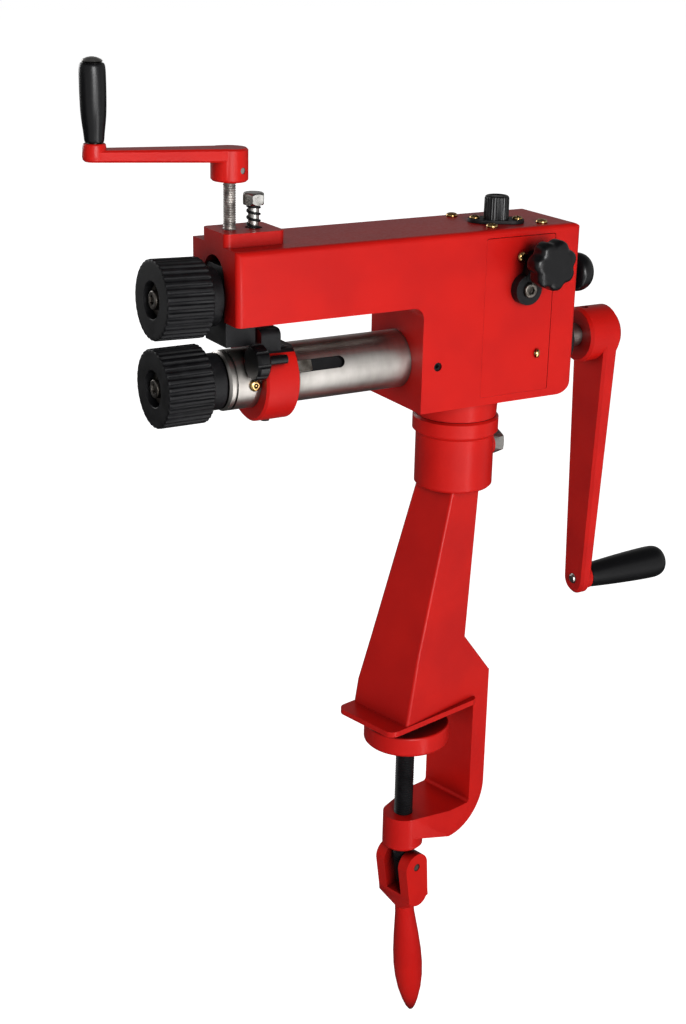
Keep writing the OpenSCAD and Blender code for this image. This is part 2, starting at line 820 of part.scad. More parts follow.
module oil_cup() {
    translate([0, 0, -cup_h]) cylinder(r = cup_r, h = cup_h + slab);
    difference() {
        turned_z([[0, cup_head_r], [cup_head_h / 2, cup_head_r], [cup_head_h, cup_r]]);
        translate([0, 0, cup_head_h]) sphere(r = cup_head_h / 2);
    }
}

module oil_cups() {
    color(brass) {
        for (p = oil_cup_places) translate([p[0], p[1], head_top_z]) oil_cup();
        translate([cup_tube_x, -tube_d / 2, lower_axis_z]) rotate([90, 0, 0]) oil_cup();
    }
}

// The oil cap on its oval flange

cap_x = 21.5;
cap_y = -7;
cap_turn = -31;
cap_pitch = 14.5;
plate_r = 9.5;
plate_t = 2.4;
plate_screw_r = 2;
plate_screw_l = 7;
plate_head_d = 7;
plate_head_h = 2;
cap_neck_r = 5.5;
cap_neck_l = 8;
cap_taper = 1.2;

module at_cap() { translate([cap_x, cap_y, head_top_z]) rotate([0, 0, cap_turn]) children(); }

module oil_cap_flange() {
    color(black) at_cap() difference() {
        linear_extrude(plate_t) {
            translate([-cap_pitch + plate_r / 2, -plate_r]) square([2 * cap_pitch - plate_r,
                2 * plate_r]);
            for (side = [-1, 1]) translate([side * (cap_pitch - plate_r / 2), 0])
                circle(plate_r);
        }
        translate([0, 0, -over]) cylinder(r = cap_neck_r + run, h = plate_t + 2 * over);
        for (side = [-1, 1]) translate([side * cap_pitch, 0, -over])
            cylinder(r = plate_screw_r + fit, h = plate_t + 2 * over);
    }
}

module flange_screws() {
    color(steel) at_cap() for (side = [-1, 1])
        translate([side * cap_pitch, 0, plate_t]) {
            translate([0, 0, -plate_screw_l]) cylinder(r = plate_screw_r, h = plate_screw_l);
            slotted_head(plate_head_d, plate_head_h, plate_head_h / 2);
        }
}

module oil_cap() {
    color(black) at_cap() translate([0, 0, plate_t + gap]) {
        translate([0, 0, -cap_neck_l]) cylinder(r = cap_neck_r, h = cap_neck_l + slab);
        turned_z([[0, cap_d / 2 - cap_taper], [small_r, cap_d / 2 - cap_taper / 2],
            [cap_h - 2 * small_r, cap_d / 2 - cap_taper], [cap_h - small_r, cap_d / 2
            - cap_taper - small_r / 2], [cap_h, cap_d / 2 - 2 * small_r - cap_taper]]);
    }
}

// The star knob on its stud, and the lug beside it

stud_x = 34.5;
stud_z = 331;
stud_r = 4;
lug_x = 28.5;
lug_z = 311.5;
lug_r = 10.5;
lug_t = 7;
lug_screw_r = 2.5;
lug_head_d = 10;
lug_head_h = 5;
star_gap = 9;
lug_boss_t = 2;
star_off = lug_t + star_gap;
star_hub_r = 5.8;
lug_web_r = 5;

module lock_lug() {
    color(black) translate([0, -half_w, 0]) rotate([90, 0, 0]) difference() {
        union() {
            translate([lug_x, lug_z, 0]) cylinder(r = lug_r, h = lug_t);
            linear_extrude(lug_t) polygon([[stud_x - lug_web_r, stud_z],
                [lug_x - lug_web_r, lug_z], [lug_x + lug_web_r, lug_z],
                [stud_x + lug_web_r, stud_z]]);
            translate([stud_x, stud_z, 0]) cylinder(r = star_hub_r, h = lug_t + lug_boss_t);
        }
        translate([stud_x, stud_z, -over]) cylinder(r = stud_r + run, h = lug_t + 4 * over);
        translate([lug_x, lug_z, lug_t - lug_head_h / 2])
            cylinder(d = lug_head_d + 4 * fit, h = lug_t);
        translate([lug_x, lug_z, -over]) cylinder(r = lug_screw_r + fit, h = lug_t + over);
    }
}

module lug_screw() {
    color(steel) translate([lug_x, 0, lug_z]) {
        rod_y(lug_screw_r, -half_w - lug_t + lug_head_h / 2, -half_w + cover_t);
        face_side(-half_w - lug_t + lug_head_h / 2) socket_head(lug_head_d, lug_head_h);
    }
}

module star_knob() {
    lobe_r = star_d * 0.15;
    lobe_at = star_d / 2 - lobe_r;
    color(black) translate([stud_x, -half_w - star_off, stud_z]) rotate([90, 0, 0])
        difference() {
            union() {
                translate([0, 0, -star_off + lug_t + lug_boss_t + gap])
                    cylinder(r = star_hub_r, h = star_off - lug_t - lug_boss_t);
                intersection() {
                    linear_extrude(star_t) {
                        circle(star_d * 0.4);
                        for (i = [0:star_lobes - 1]) rotate(i * 360 / star_lobes)
                            translate([lobe_at, 0]) circle(lobe_r);
                    }
                    turned_z([[0, star_d / 2 - small_r], [small_r, star_d / 2],
                        [star_t - 2 * small_r, star_d / 2], [star_t - small_r / 2,
                        star_d / 2 - small_r], [star_t, star_d / 2 - 3 * small_r]]);
                }
            }
            translate([0, 0, -star_off]) cylinder(r = stud_r + fit, h = star_off + star_t / 2);
        }
}

module star_knob_stud() {
    color(steel) translate([stud_x, 0, stud_z])
        rod_y(stud_r, -half_w - star_off - star_t / 2 + gap, -half_w + cover_t);
}

// The edge stop that slides on the lower tube

stop_x = -stop_fwd;
stop_r = stop_d / 2;
stop_flat_rise = 1.8;
stop_flat = tube_d / 2 + stop_flat_rise;
upright_gap = 6.6;
upright_top = arm_under_z - lower_axis_z - upright_gap;
stop_fillet_r = 9;
thumb_r = 11.5;
thumb_off = 1.1;
thumb_angle = 31.7;
thumb_reach = tube_d / 2 + thumb_r + thumb_off;
thumb_y = -thumb_reach * cos(thumb_angle);
thumb_rise = thumb_reach * sin(thumb_angle);
thumb_t = 9;
thumb_stem_r = 6.2;
thumb_gap = 2;
thumb_thread_r = 3;
stop_screw_r = 3;

module edge_stop() {
    color(red) on_lower() difference() {
        union() {
            turned_x([[stop_x, stop_r - small_r], [stop_x + small_r, stop_r],
                [stop_x + stop_l - 2 * small_r, stop_r],
                [stop_x + stop_l, stop_r - 3 * small_r]], $fn = 96);
            translate([stop_x, 0, 0]) rotate([90, 0, 90]) linear_extrude(upright_t)
                round_rect([-upright_w / 2, 0], [upright_w / 2, upright_top], 3 * small_r);
            translate([stop_x + upright_t, -upright_w / 2 + 3 * small_r, stop_flat]) difference() {
                cube([stop_fillet_r, upright_w - 6 * small_r, stop_fillet_r]);
                translate([stop_fillet_r, upright_w, stop_fillet_r]) rotate([90, 0, 0])
                    cylinder(r = stop_fillet_r, h = 2 * upright_w);
            }
        }
        translate([stop_x + upright_t + stop_fillet_r, -stop_d, stop_flat])
            cube([stop_l, 2 * stop_d, stop_d]);
        difference() {
            translate([stop_x + upright_t, -stop_d, stop_flat])
                cube([stop_fillet_r + over, 2 * stop_d, stop_d]);
            translate([stop_x + upright_t - over, -upright_w / 2 + 3 * small_r, 0]) difference() {
                cube([stop_fillet_r + over, upright_w - 6 * small_r, stop_flat
                    + stop_fillet_r]);
                translate([stop_fillet_r + over, upright_w, stop_flat + stop_fillet_r])
                    rotate([90, 0, 0]) cylinder(r = stop_fillet_r, h = 2 * upright_w);
            }
        }
        rod_x(tube_d / 2 + run, stop_x - over, stop_x + stop_l + over);
        at_key() translate([stop_x + stop_l - stop_key_l / 2 - over, -stop_r + small_r, -keyway_w / 2
            + gap - fit]) cube([stop_key_l / 2 + 2 * over, stop_r - tube_d / 2,
            keyway_w - 2 * gap + 2 * fit]);
        translate([stop_x + stop_l / 2, 0, 0]) rotate([180, 0, 0])
            cylinder(r = stop_screw_r + fit, h = stop_r + over);
        translate([0, thumb_y, thumb_rise])
            rod_x(thumb_thread_r + run, stop_x - over, stop_x + upright_t + over);
    }
}

// The key fixed in the stop, which rides in the tube's keyway
stop_key_rise = 3;

module stop_key() {
    reach = stop_x + stop_l;
    color(steel) on_lower() at_key()
        translate([reach - stop_key_l / 2, -tube_d / 2 - stop_key_rise, -keyway_w / 2 + gap])
            cube([stop_key_l, stop_key_rise + keyway_h - gap, keyway_w - 2 * gap]);
}

module stop_set_screw() {
    color(black) on_lower() translate([stop_x + stop_l / 2, 0, 0]) rotate([180, 0, 0])
        difference() {
            translate([0, 0, tube_d / 2 + gap])
                cylinder(r = stop_screw_r, h = stop_r - tube_d / 2 + small_r);
            translate([0, 0, stop_r]) hexagon(stop_screw_r, stop_r);
        }
}

module stop_thumb_screw() {
    head_x = stop_x - thumb_gap - thumb_t;
    color(black) on_lower() translate([0, thumb_y, thumb_rise]) {
        rod_x(thumb_thread_r, stop_x - thumb_gap, stop_x + upright_t);
        rod_x(thumb_stem_r, stop_x - thumb_gap - over, stop_x - gap);
        difference() {
            turned_x([[head_x, thumb_r - small_r], [head_x + small_r, thumb_r],
                [head_x + thumb_t - small_r, thumb_r], [head_x + thumb_t, thumb_r - small_r]]);
            for (i = [0:thumb_grooves - 1]) rotate([i * 360 / thumb_grooves, 0, 0])
                translate([0, 0, thumb_r]) rod_x(small_r, head_x - over,
                    head_x + thumb_t + over);
        }
    }
}
thumb_grooves = 8;

// Fluted rolls, their washers and screws, from a front face at x zero

key_w = 5;
key_h = 2.5;
roll_chamfer = 1.8;
washer_r = 10.5;
washer_t = 1.6;
roll_bolt_r = 4;
roll_bolt_l = 24;
roll_bolt_head = 12;
roll_bolt_head_h = 4;

module roll_section() {
    step = 360 / flutes;
    low = roll_r - flute_depth;
    polygon([for (i = [0:flutes - 1], p = [[-0.30, roll_r], [0.24, roll_r],
        [0.36, low], [0.58, low]]) p[1] * [cos((i + p[0]) * step), sin((i + p[0]) * step)]]);
}

module roll(turn) {
    difference() {
        intersection() {
            rotate([90, 0, 90]) linear_extrude(roll_l) rotate(turn) roll_section();
            turned_x([[0, roll_r - roll_chamfer], [roll_chamfer, roll_r],
                [roll_l - roll_chamfer, roll_r], [roll_l, roll_r - roll_chamfer]], $fn = 96);
        }
        rod_x(recess_d / 2, -over, recess_h);
        rod_x(shaft_r + fit, 0, roll_l + over);
        translate([0, -key_w / 2 - fit, 0])
            cube([roll_l + over, key_w + 2 * fit, shaft_r + key_h + fit]);
    }
}

module roll_washer(x) {
    color(steel) difference() {
        rod_x(washer_r, x, x + washer_t);
        rod_x(roll_bolt_r + fit, x - over, x + washer_t + over);
    }
}

module roll_screw(x) {
    color(steel) {
        rod_x(roll_bolt_r, x, x + roll_bolt_l);
        face_front(x) socket_head(roll_bolt_head, roll_bolt_head_h);
    }
}

// A shaft with its roll key, from its front end, with a tapped bore for the roll's screw
module shaft_front(x, rear) {
    difference() {
        union() {
            rod_x(shaft_r, x, rear);
            translate([x, -key_w / 2, 0]) cube([roll_l - recess_h - small_r, key_w,
                shaft_r + key_h]);
        }
        rod_x(roll_bolt_r + fit, x - over, x + roll_bolt_l);
    }
}

// Involute gears

function inv(a) = tan(a) * 180 / PI - a;
gear_rp = gear_module * gear_teeth / 2;
pressure_angle = 20;
gear_rb = gear_rp * cos(pressure_angle);
gear_tip = gear_rp + gear_module;
gear_root = gear_rp - 1.25 * gear_module;
gear_slack = backlash / gear_rp * 90 / PI;
// Half of a tooth's angle at radius r
function tooth_half(r) = 90 / gear_teeth - gear_slack + inv(pressure_angle) - inv(acos(gear_rb / r));
flank_radii = [gear_rb, gear_rb + (gear_tip - gear_rb) * 0.3,
    gear_rb + (gear_tip - gear_rb) * 0.65, gear_tip];
tooth_points = concat([[gear_root, -tooth_half(gear_rb)]],
    [for (r = flank_radii) [r, -tooth_half(r)]],
    [for (i = [len(flank_radii) - 1:-1:0]) [flank_radii[i], tooth_half(flank_radii[i])]],
    [[gear_root, tooth_half(gear_rb)]]);

module gear_section() {
    polygon([for (i = [0:gear_teeth - 1], p = tooth_points)
        p[0] * [cos(p[1] + i * 360 / gear_teeth), sin(p[1] + i * 360 / gear_teeth)]]);
}

gear_x = 20;
gear_hub_r = 15;
gear_hub_l = 8;
key_inset = 1;
gear_key_l = gear_w + gear_hub_l - 2 * key_inset;

// A gear about X with its hub behind it, its middle tooth turned by an angle
module gear(x, turn) {
    difference() {
        union() {
            translate([x - gear_w / 2, 0, 0]) rotate([90, 0, 90])
                linear_extrude(gear_w) rotate(turn) gear_section();
            rod_x(gear_hub_r, x, x + gear_w / 2 + gear_hub_l);
        }
        rod_x(shaft_r + fit, x - gear_w, x + gear_w + gear_hub_l);
        translate([x - gear_w, -key_w / 2 - fit, 0])
            cube([2 * gear_w + gear_hub_l, key_w + 2 * fit, shaft_r + key_h + fit]);
    }
}

module gear_key(x) {
    translate([x - gear_w / 2 + key_inset, -key_w / 2, shaft_r - key_h])
        cube([gear_key_l, key_w, 2 * key_h]);
}

// A gear's keyway cut in its shaft
module gear_key_seat(x) {
    translate([x - gear_w / 2 + key_inset - fit, -key_w / 2 - fit, shaft_r - key_h - fit])
        cube([gear_key_l + 2 * fit, key_w + 2 * fit, 2 * key_h]);
}

// Lower shaft and what turns with it

nose_x = roll_front_x + recess_h + gap;
shaft_step_off = 6;
shaft_step_x = box_rear + bearing_cap_t + shaft_step_off;
spacer_r = 18.5;

module lower_shaft() {
    color(steel) on_lower() difference() {
        union() {
            shaft_front(nose_x, shaft_step_x);
            rod_x(shaft_end_d / 2, shaft_step_x - slab, hub_x + hub_l - small_r);
        }
        gear_key_seat(gear_x);
    }
}

module lower_gear() { color(steel) on_lower() gear(gear_x, 90); }
module lower_gear_key() { color(steel) on_lower() gear_key(gear_x); }
module lower_roll() {
    color(black) on_lower() translate([roll_front_x, 0, 0]) roll(90 + 90 / flutes);
}
module lower_roll_spacer() {
    color(black) on_lower() difference() {
        turned_x([[roll_rear_x, spacer_r], [tube_front_x - gap - small_r, spacer_r],
            [tube_front_x - gap, spacer_r - small_r]]);
        rod_x(shaft_r + fit, roll_rear_x - over, tube_front_x + over);
    }
}
module lower_roll_washer() { on_lower() roll_washer(nose_x - gap - washer_t); }
module lower_roll_screw() { on_lower() roll_screw(nose_x - gap - washer_t); }

// The drive crank, its set screw, spindle and grip

arm_off = 13;
hub_screw_off = 6;
arm_face_x = hub_x + arm_off;
end_boss_r = 9.5;
end_boss_l = 3.5;
crank_edge = 2;
spindle_r = 4;
spindle_head_r = 3.4;
grip_gap = 0.5;

// A disc about X with chamfered edges
module crank_disc(r, x0, x1) {
    turned_x([[x0, r - crank_edge], [x0 + crank_edge, r], [x1 - crank_edge, r],
        [x1, r - crank_edge]], $fn = 40);
}

module at_grip() { translate([0, 0, -drive_throw]) children(); }

module drive_crank() {
    color(red) on_lower() difference() {
        union() {
            turned_x([[hub_x, hub_d / 2 - crank_edge], [hub_x + crank_edge, hub_d / 2],
                [hub_x + hub_l - 2 * crank_edge, hub_d / 2],
                [hub_x + hub_l, hub_d / 2 - 2 * crank_edge]], $fn = 96);
            hull() {
                crank_disc(drive_arm_w / 2, arm_face_x, arm_face_x + drive_arm_t);
                at_grip() crank_disc(drive_end_w / 2, arm_face_x,
                    arm_face_x + drive_arm_t * 0.75);
            }
            at_grip() rod_x(end_boss_r, arm_face_x + slab,
                arm_face_x + drive_arm_t * 0.75 + end_boss_l);
        }
        rod_x(shaft_end_d / 2 + fit, hub_x - over, hub_x + hub_l + over);
        at_grip() rod_x(spindle_r + fit, arm_face_x - over, arm_face_x + 2 * drive_arm_t
            + end_boss_l);
        translate([hub_x + hub_screw_off, 0, 0]) cylinder(r = set_screw_r + fit, h = hub_d);
    }
}

module crank_set_screw() {
    color(black) on_lower() translate([hub_x + hub_screw_off, 0, 0]) difference() {
        translate([0, 0, shaft_end_d / 2 + gap])
            cylinder(r = set_screw_r, h = (hub_d - shaft_end_d) / 2 - small_r);
        translate([0, 0, hub_d / 2 - small_r]) hexagon(set_screw_r, hub_d);
    }
}

spindle_end = 9;
grip_x = arm_face_x + drive_arm_t * 0.75 + end_boss_l + grip_gap;

module crank_spindle() {
    color(steel) on_lower() at_grip() {
        rod_x(spindle_r, arm_face_x, grip_x + drive_grip_l - spindle_end);
        turned_x([[arm_face_x - small_r, spindle_head_r - small_r / 2],
            [arm_face_x + gap, spindle_head_r]]);
    }
}

module drive_grip() {
    r = drive_grip_d / 2;
    tail = drive_grip_l / 12;
    color(black) on_lower() at_grip() difference() {
        turned_x([[grip_x, r * 0.68], [grip_x + small_r, r * 0.74],
            [grip_x + drive_grip_l * 0.3, r * 0.86], [grip_x + drive_grip_l * 0.6, r * 0.96],
            [grip_x + drive_grip_l * 0.8, r], [grip_x + drive_grip_l - tail, r * 0.97],
            [grip_x + drive_grip_l - tail / 2, r * 0.86],
            [grip_x + drive_grip_l - tail / 8, r * 0.66], [grip_x + drive_grip_l, r * 0.5]],
            $fn = 64);
        rod_x(spindle_r + run, grip_x - over, grip_x + drive_grip_l - spindle_end + gap);
    }
}

// The upper carrier: pivot bearing at the rear, sliding block at the front

block_front_off = 1;
block_rear_off = 6;
block_sink = 1.6;
block_rise = 9;
block_x0 = arm_x + block_front_off;
block_x1 = arm_x + front_wall - block_rear_off;
block_under_z = arm_under_z - block_sink;
block_top_z = slot_arch_z + block_rise;
// The block's front part hangs lower than the rest
nose_l = 21;
nose_h = 9.5;
block_bore_r = 12;
pivot_half_l = 9;
pivot_shoulder = 4;

module pivot_bearing() {
    color(bronze) on_upper() difference() {
        union() {
            intersection() {
                sphere(r = pivot_ball_r, $fn = 96);
                rod_x(pivot_ball_r + over, -pivot_half_l, pivot_half_l);
            }
            rod_y(trunnion_r, -trunnion_half_l, trunnion_half_l);
        }
        rod_x(shaft_r + run, -pivot_ball_r, pivot_ball_r);
    }
}

module bearing_block() {
    color(steel) difference() {
        union() {
            translate([block_x0, 0, 0]) rotate([90, 0, 90])
                linear_extrude(block_x1 - block_x0) intersection() {
                    union() {
                        translate([0, slot_arch_z - gap]) circle(block_half_w, $fn = 96);
                        translate([-block_half_w, block_under_z])
                            square([2 * block_half_w, slot_arch_z - block_under_z - gap]);
                    }
                    translate([-block_half_w, block_under_z])
                        square([2 * block_half_w, block_top_z - block_under_z]);
                }
            translate([block_x0, -block_half_w, block_under_z - nose_h])
                cube([nose_l, 2 * block_half_w, nose_h + over]);
        }
        on_upper() rod_x(block_bore_r + fit, upper_u(block_x0) - 2 * over,
            upper_u(block_x1) + 2 * over);
        translate([lift_x, 0, block_top_z - lift_sink])
            cylinder(r = lift_d / 2 + 3 * gap, h = lift_sink + over);
    }
}
lift_sink = 6;

module block_bush() {
    color(bronze) on_upper() difference() {
        rod_x(block_bore_r, upper_u(block_x0) + gap, upper_u(block_x1) - gap);
        rod_x(shaft_r + run, upper_u(block_x0) - over, upper_u(block_x1) + over);
    }
}

// Upper shaft and what turns with it

upper_front_u = upper_u(roll_front_x);
upper_nose_u = upper_front_u + recess_h + gap;
upper_gear_u = upper_u(gear_x);
collar_u = upper_front_u + roll_l;
collar_l = 6;
collar_r = 12.5;

module upper_shaft() {
    color(steel) on_upper() difference() {
        union() {
            shaft_front(upper_nose_u, pivot_half_l + pivot_shoulder);
            rod_x(collar_r, collar_u, collar_u + collar_l);
        }
        gear_key_seat(upper_gear_u);
    }
}

module upper_gear() {
    color(steel) on_upper() gear(upper_gear_u, 90 + 180 / gear_teeth);
}
module upper_gear_key() { color(steel) on_upper() gear_key(upper_gear_u); }
module upper_roll() {
    color(black) on_upper() translate([upper_front_u, 0, 0]) roll(90 + 180 / flutes);
}
module upper_roll_washer() { on_upper() roll_washer(upper_nose_u - gap - washer_t); }
module upper_roll_screw() { on_upper() roll_screw(upper_nose_u - gap - washer_t); }

knob_u = 31.5;
knob_t = 15;
knob_stem_r = 6;

module rear_knob() {
    r = rear_knob_d / 2;
    color(black) on_upper() {
        rod_x(knob_stem_r, pivot_half_l + pivot_shoulder + gap, knob_u + over);
        turned_x([[knob_u, r * 0.75], [knob_u + knob_t * 0.25, r], [knob_u + knob_t * 0.55, r],
            [knob_u + knob_t * 0.8, r * 0.9], [knob_u + knob_t * 0.95, r * 0.68],
            [knob_u + knob_t, r * 0.4]]);
    }
}

// The press: foot, screw, crank, grip and the spring loaded lift bolt

foot_r = 7;
foot_h = 4;
foot_z = block_top_z + gap;
press_hub_z = head_top_z + press_hub_lift;
press_arm_z = press_hub_z + press_hub_h;
press_end_r = 7.25;
press_grip_x = press_x - press_throw;
press_boss_rise = 6.8;
press_boss_top = press_arm_z + press_arm_t + press_boss_rise;
press_tip_r = 3;

module press_foot() {
    color(steel) translate([press_x, 0, foot_z]) difference() {
        cylinder(r = press_d / 2, h = foot_h);
        translate([0, 0, foot_h / 2]) cylinder(r = press_tip_r + run, h = foot_h);
    }
}

module press_screw() {
    color(steel) translate([press_x, 0, 0]) {
        translate([0, 0, foot_z + foot_h + gap])
            cylinder(d = press_d, h = press_arm_z - foot_z - foot_h);
        translate([0, 0, foot_z + foot_h / 2 + gap])
            cylinder(r = press_tip_r, h = foot_h);
    }
}

module press_crank() {
    edge = 1.2;
    color(red) difference() {
        union() {
            translate([press_x, 0, 0]) turned_z([[press_hub_z, press_hub_d / 2 - edge],
                [press_hub_z + edge, press_hub_d / 2],
                [press_arm_z + press_arm_t - edge, press_hub_d / 2],
                [press_arm_z + press_arm_t, press_hub_d / 2 - edge]]);
            hull() {
                translate([press_x, 0, press_arm_z])
                    turned_z([[0, press_hub_d / 2 - edge - small_r],
                        [edge, press_hub_d / 2 - small_r],
                        [press_arm_t - edge, press_hub_d / 2 - small_r],
                        [press_arm_t, press_hub_d / 2 - edge - small_r]], $fn = 32);
                translate([press_grip_x, 0, press_arm_z + edge])
                    turned_z([[0, press_end_r - edge], [edge, press_end_r],
                        [press_arm_t - 2 * edge, press_end_r],
                        [press_arm_t - edge, press_end_r - edge]], $fn = 32);
            }
            translate([press_grip_x, 0, press_arm_z + edge])
                turned_z([[0, press_end_r - edge], [2 * edge, press_end_r + slab / 2],
                    [press_boss_top - press_arm_z - 2 * edge, press_end_r - slab],
                    [press_boss_top - press_arm_z - edge, press_end_r - edge]]);
        }
        translate([press_x, 0, press_hub_z - over])
            cylinder(r = press_d / 2 + fit, h = press_hub_h + over + 2 * gap);
        translate([press_grip_x, 0, press_arm_z])
            cylinder(r = spindle_r + fit, h = press_boss_top);
        translate([press_x, 0, press_hub_z + press_hub_h * 0.6])
            rotate([0, 0, pin_turn]) rod_y(cross_pin_r + fit, -press_hub_d, 0);
    }
}
cross_pin_r = 2;
pin_turn = 20;

module press_crank_pin() {
    color(steel) translate([press_x, 0, press_hub_z + press_hub_h * 0.6])
        rotate([0, 0, pin_turn])
            rod_y(cross_pin_r, -press_hub_d / 2 + slab, -press_d / 2 - gap);
}

module press_spindle() {
    color(steel) translate([press_grip_x, 0, press_arm_z + 2 * small_r])
        cylinder(r = spindle_r, h = press_boss_top - press_arm_z - 2 * small_r
            + press_grip_l - spindle_short);
}

spindle_short = 2;
grip_cap_h = 3.2;
press_grip_z = press_boss_top + grip_gap;

module press_grip() {
    r = press_grip_d / 2;
    color(black) translate([press_grip_x, 0, press_grip_z]) difference() {
        turned_z([[0, r * 0.74], [press_grip_l * 0.12, r * 0.8],
            [press_grip_l * 0.35, r * 0.95], [press_grip_l * 0.6, r],
            [press_grip_l * 0.9, r], [press_grip_l * 0.97, r * 0.97],
            [press_grip_l, r * 0.88]], $fn = 64);
        translate([0, 0, -over]) cylinder(r = spindle_r + run, h = press_grip_l + 2 * over);
    }
}

module press_grip_cap() {
    r = press_grip_d / 2 * 0.8;
    color(steel) translate([press_grip_x, 0, press_grip_z + press_grip_l + gap])
        turned_z([[0, r * 0.9], [grip_cap_h * 0.25, r], [grip_cap_h * 0.56, r * 0.86],
            [grip_cap_h * 0.87, r * 0.5], [grip_cap_h, r * 0.2]]);
}

lift_head_w = 13;
lift_head_h = 7.5;
spring_rise = 23;
spring_top_z = head_top_z + spring_rise;
spring_foot_z = head_top_z + top_boss_h - spring_seat;

module lift_bolt() {
    color(steel) translate([lift_x, 0, 0]) {
        translate([0, 0, block_top_z - lift_sink + 2 * gap])
            cylinder(d = lift_d, h = spring_top_z - block_top_z + lift_sink);
        translate([0, 0, spring_top_z]) intersection() {
            hexagon(lift_head_w, lift_head_h);
            turned_z([[0, lift_head_w / 2], [small_r, lift_head_w / 2 / cos(30)],
                [lift_head_h - small_r, lift_head_w / 2 / cos(30)],
                [lift_head_h, lift_head_w / 2 - small_r / 2]]);
        }
    }
}

// One wire wound in open curls, its ends lying flat for part of a curl
spring_sides = 6;
spring_rings = 8;
spring_mean_r = (spring_d - spring_wire) / 2;
spring_low = spring_foot_z + spring_wire / 2 + fit;
spring_high = spring_top_z - spring_wire / 2 - fit;
spring_steps = spring_curls * spring_rings;
flat_steps = spring_rings * 0.75;
// Share of the rise that a step has reached
function rise_share(i) = max(0, min(1, (i - flat_steps) / (spring_steps - 2 * flat_steps)));
function spring_z(i) = spring_low + (spring_high - spring_low) * (
    i < flat_steps ? i / flat_steps * flat_share :
    i > spring_steps - flat_steps ? 1 - (spring_steps - i) / flat_steps * flat_share :
    flat_share + (1 - 2 * flat_share) * rise_share(i));
flat_share = 1.75 * spring_wire / (spring_high - spring_low);
function spring_at(i) = [spring_mean_r * cos(i * 360 / spring_rings),
    spring_mean_r * sin(i * 360 / spring_rings), spring_z(i)];
spring_path = [for (i = [0:spring_steps]) spring_at(i)];
// Least gap between points of the wire that lie about one curl apart
spring_least = min([for (i = [0:spring_steps - spring_rings])
    norm(spring_path[i + spring_rings] - spring_path[i]) - spring_wire]);
echo(spring_least_gap = spring_least);

module lift_spring() {
    last = spring_steps;
    rings = [for (i = [0:last]) let (
        back = spring_path[max(0, i - 1)],
        ahead = spring_path[min(last, i + 1)],
        along = (ahead - back) / norm(ahead - back),
        out = [cos(i * 360 / spring_rings), sin(i * 360 / spring_rings), 0],
        flat_out = (out - along * (out * along)) / norm(out - along * (out * along)),
        side = cross(along, flat_out))
        [for (j = [0:spring_sides - 1]) spring_path[i] + spring_wire / 2
            * (flat_out * cos(j * 360 / spring_sides) + side * sin(j * 360 / spring_sides))]];
    points = [for (ring = rings, p = ring) p];
    walls = [for (i = [0:last - 1], j = [0:spring_sides - 1]) let (
        a = i * spring_sides + j, b = i * spring_sides + (j + 1) % spring_sides,
        c = a + spring_sides, d = b + spring_sides) each [[a, b, d], [a, d, c]]];
    low_end = [for (j = [1:spring_sides - 2]) [0, j + 1, j]];
    base = last * spring_sides;
    high_end = [for (j = [1:spring_sides - 2]) [base, base + j, base + j + 1]];
    color(black) translate([lift_x, 0, 0])
        polyhedron(points = points, faces = concat(walls, low_end, high_end));
}

stand_casting();
socket_bolt();
clamp_pad();
clamp_screw();
fork_handle();
fork_pin();
head_casting();
side_cover();
cover_screws();
lower_tube();
tube_set_screw();
front_bush();
rear_bush();
rear_bearing_cap();
oil_cups();
oil_cap_flange();
flange_screws();
lock_lug();
lug_screw();
oil_cap();
star_knob();
star_knob_stud();
edge_stop();
stop_key();
stop_set_screw();
stop_thumb_screw();
lower_shaft();
lower_gear();
lower_gear_key();
lower_roll();
lower_roll_spacer();
lower_roll_washer();
lower_roll_screw();
drive_crank();
crank_set_screw();
crank_spindle();
drive_grip();
pivot_bearing();
bearing_block();
block_bush();
upper_shaft();
upper_gear();
upper_gear_key();
upper_roll();
upper_roll_washer();
upper_roll_screw();
rear_knob();
press_foot();
press_screw();
press_crank();
press_crank_pin();
press_spindle();
press_grip();
press_grip_cap();
lift_bolt();
lift_spring();
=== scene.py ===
"""Looks of a hand cranked bead roller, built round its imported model."""

import json
import math

import bmesh
import bpy
from bpy.props import FloatProperty, FloatVectorProperty, IntProperty, PointerProperty
from mathutils import Matrix, Vector

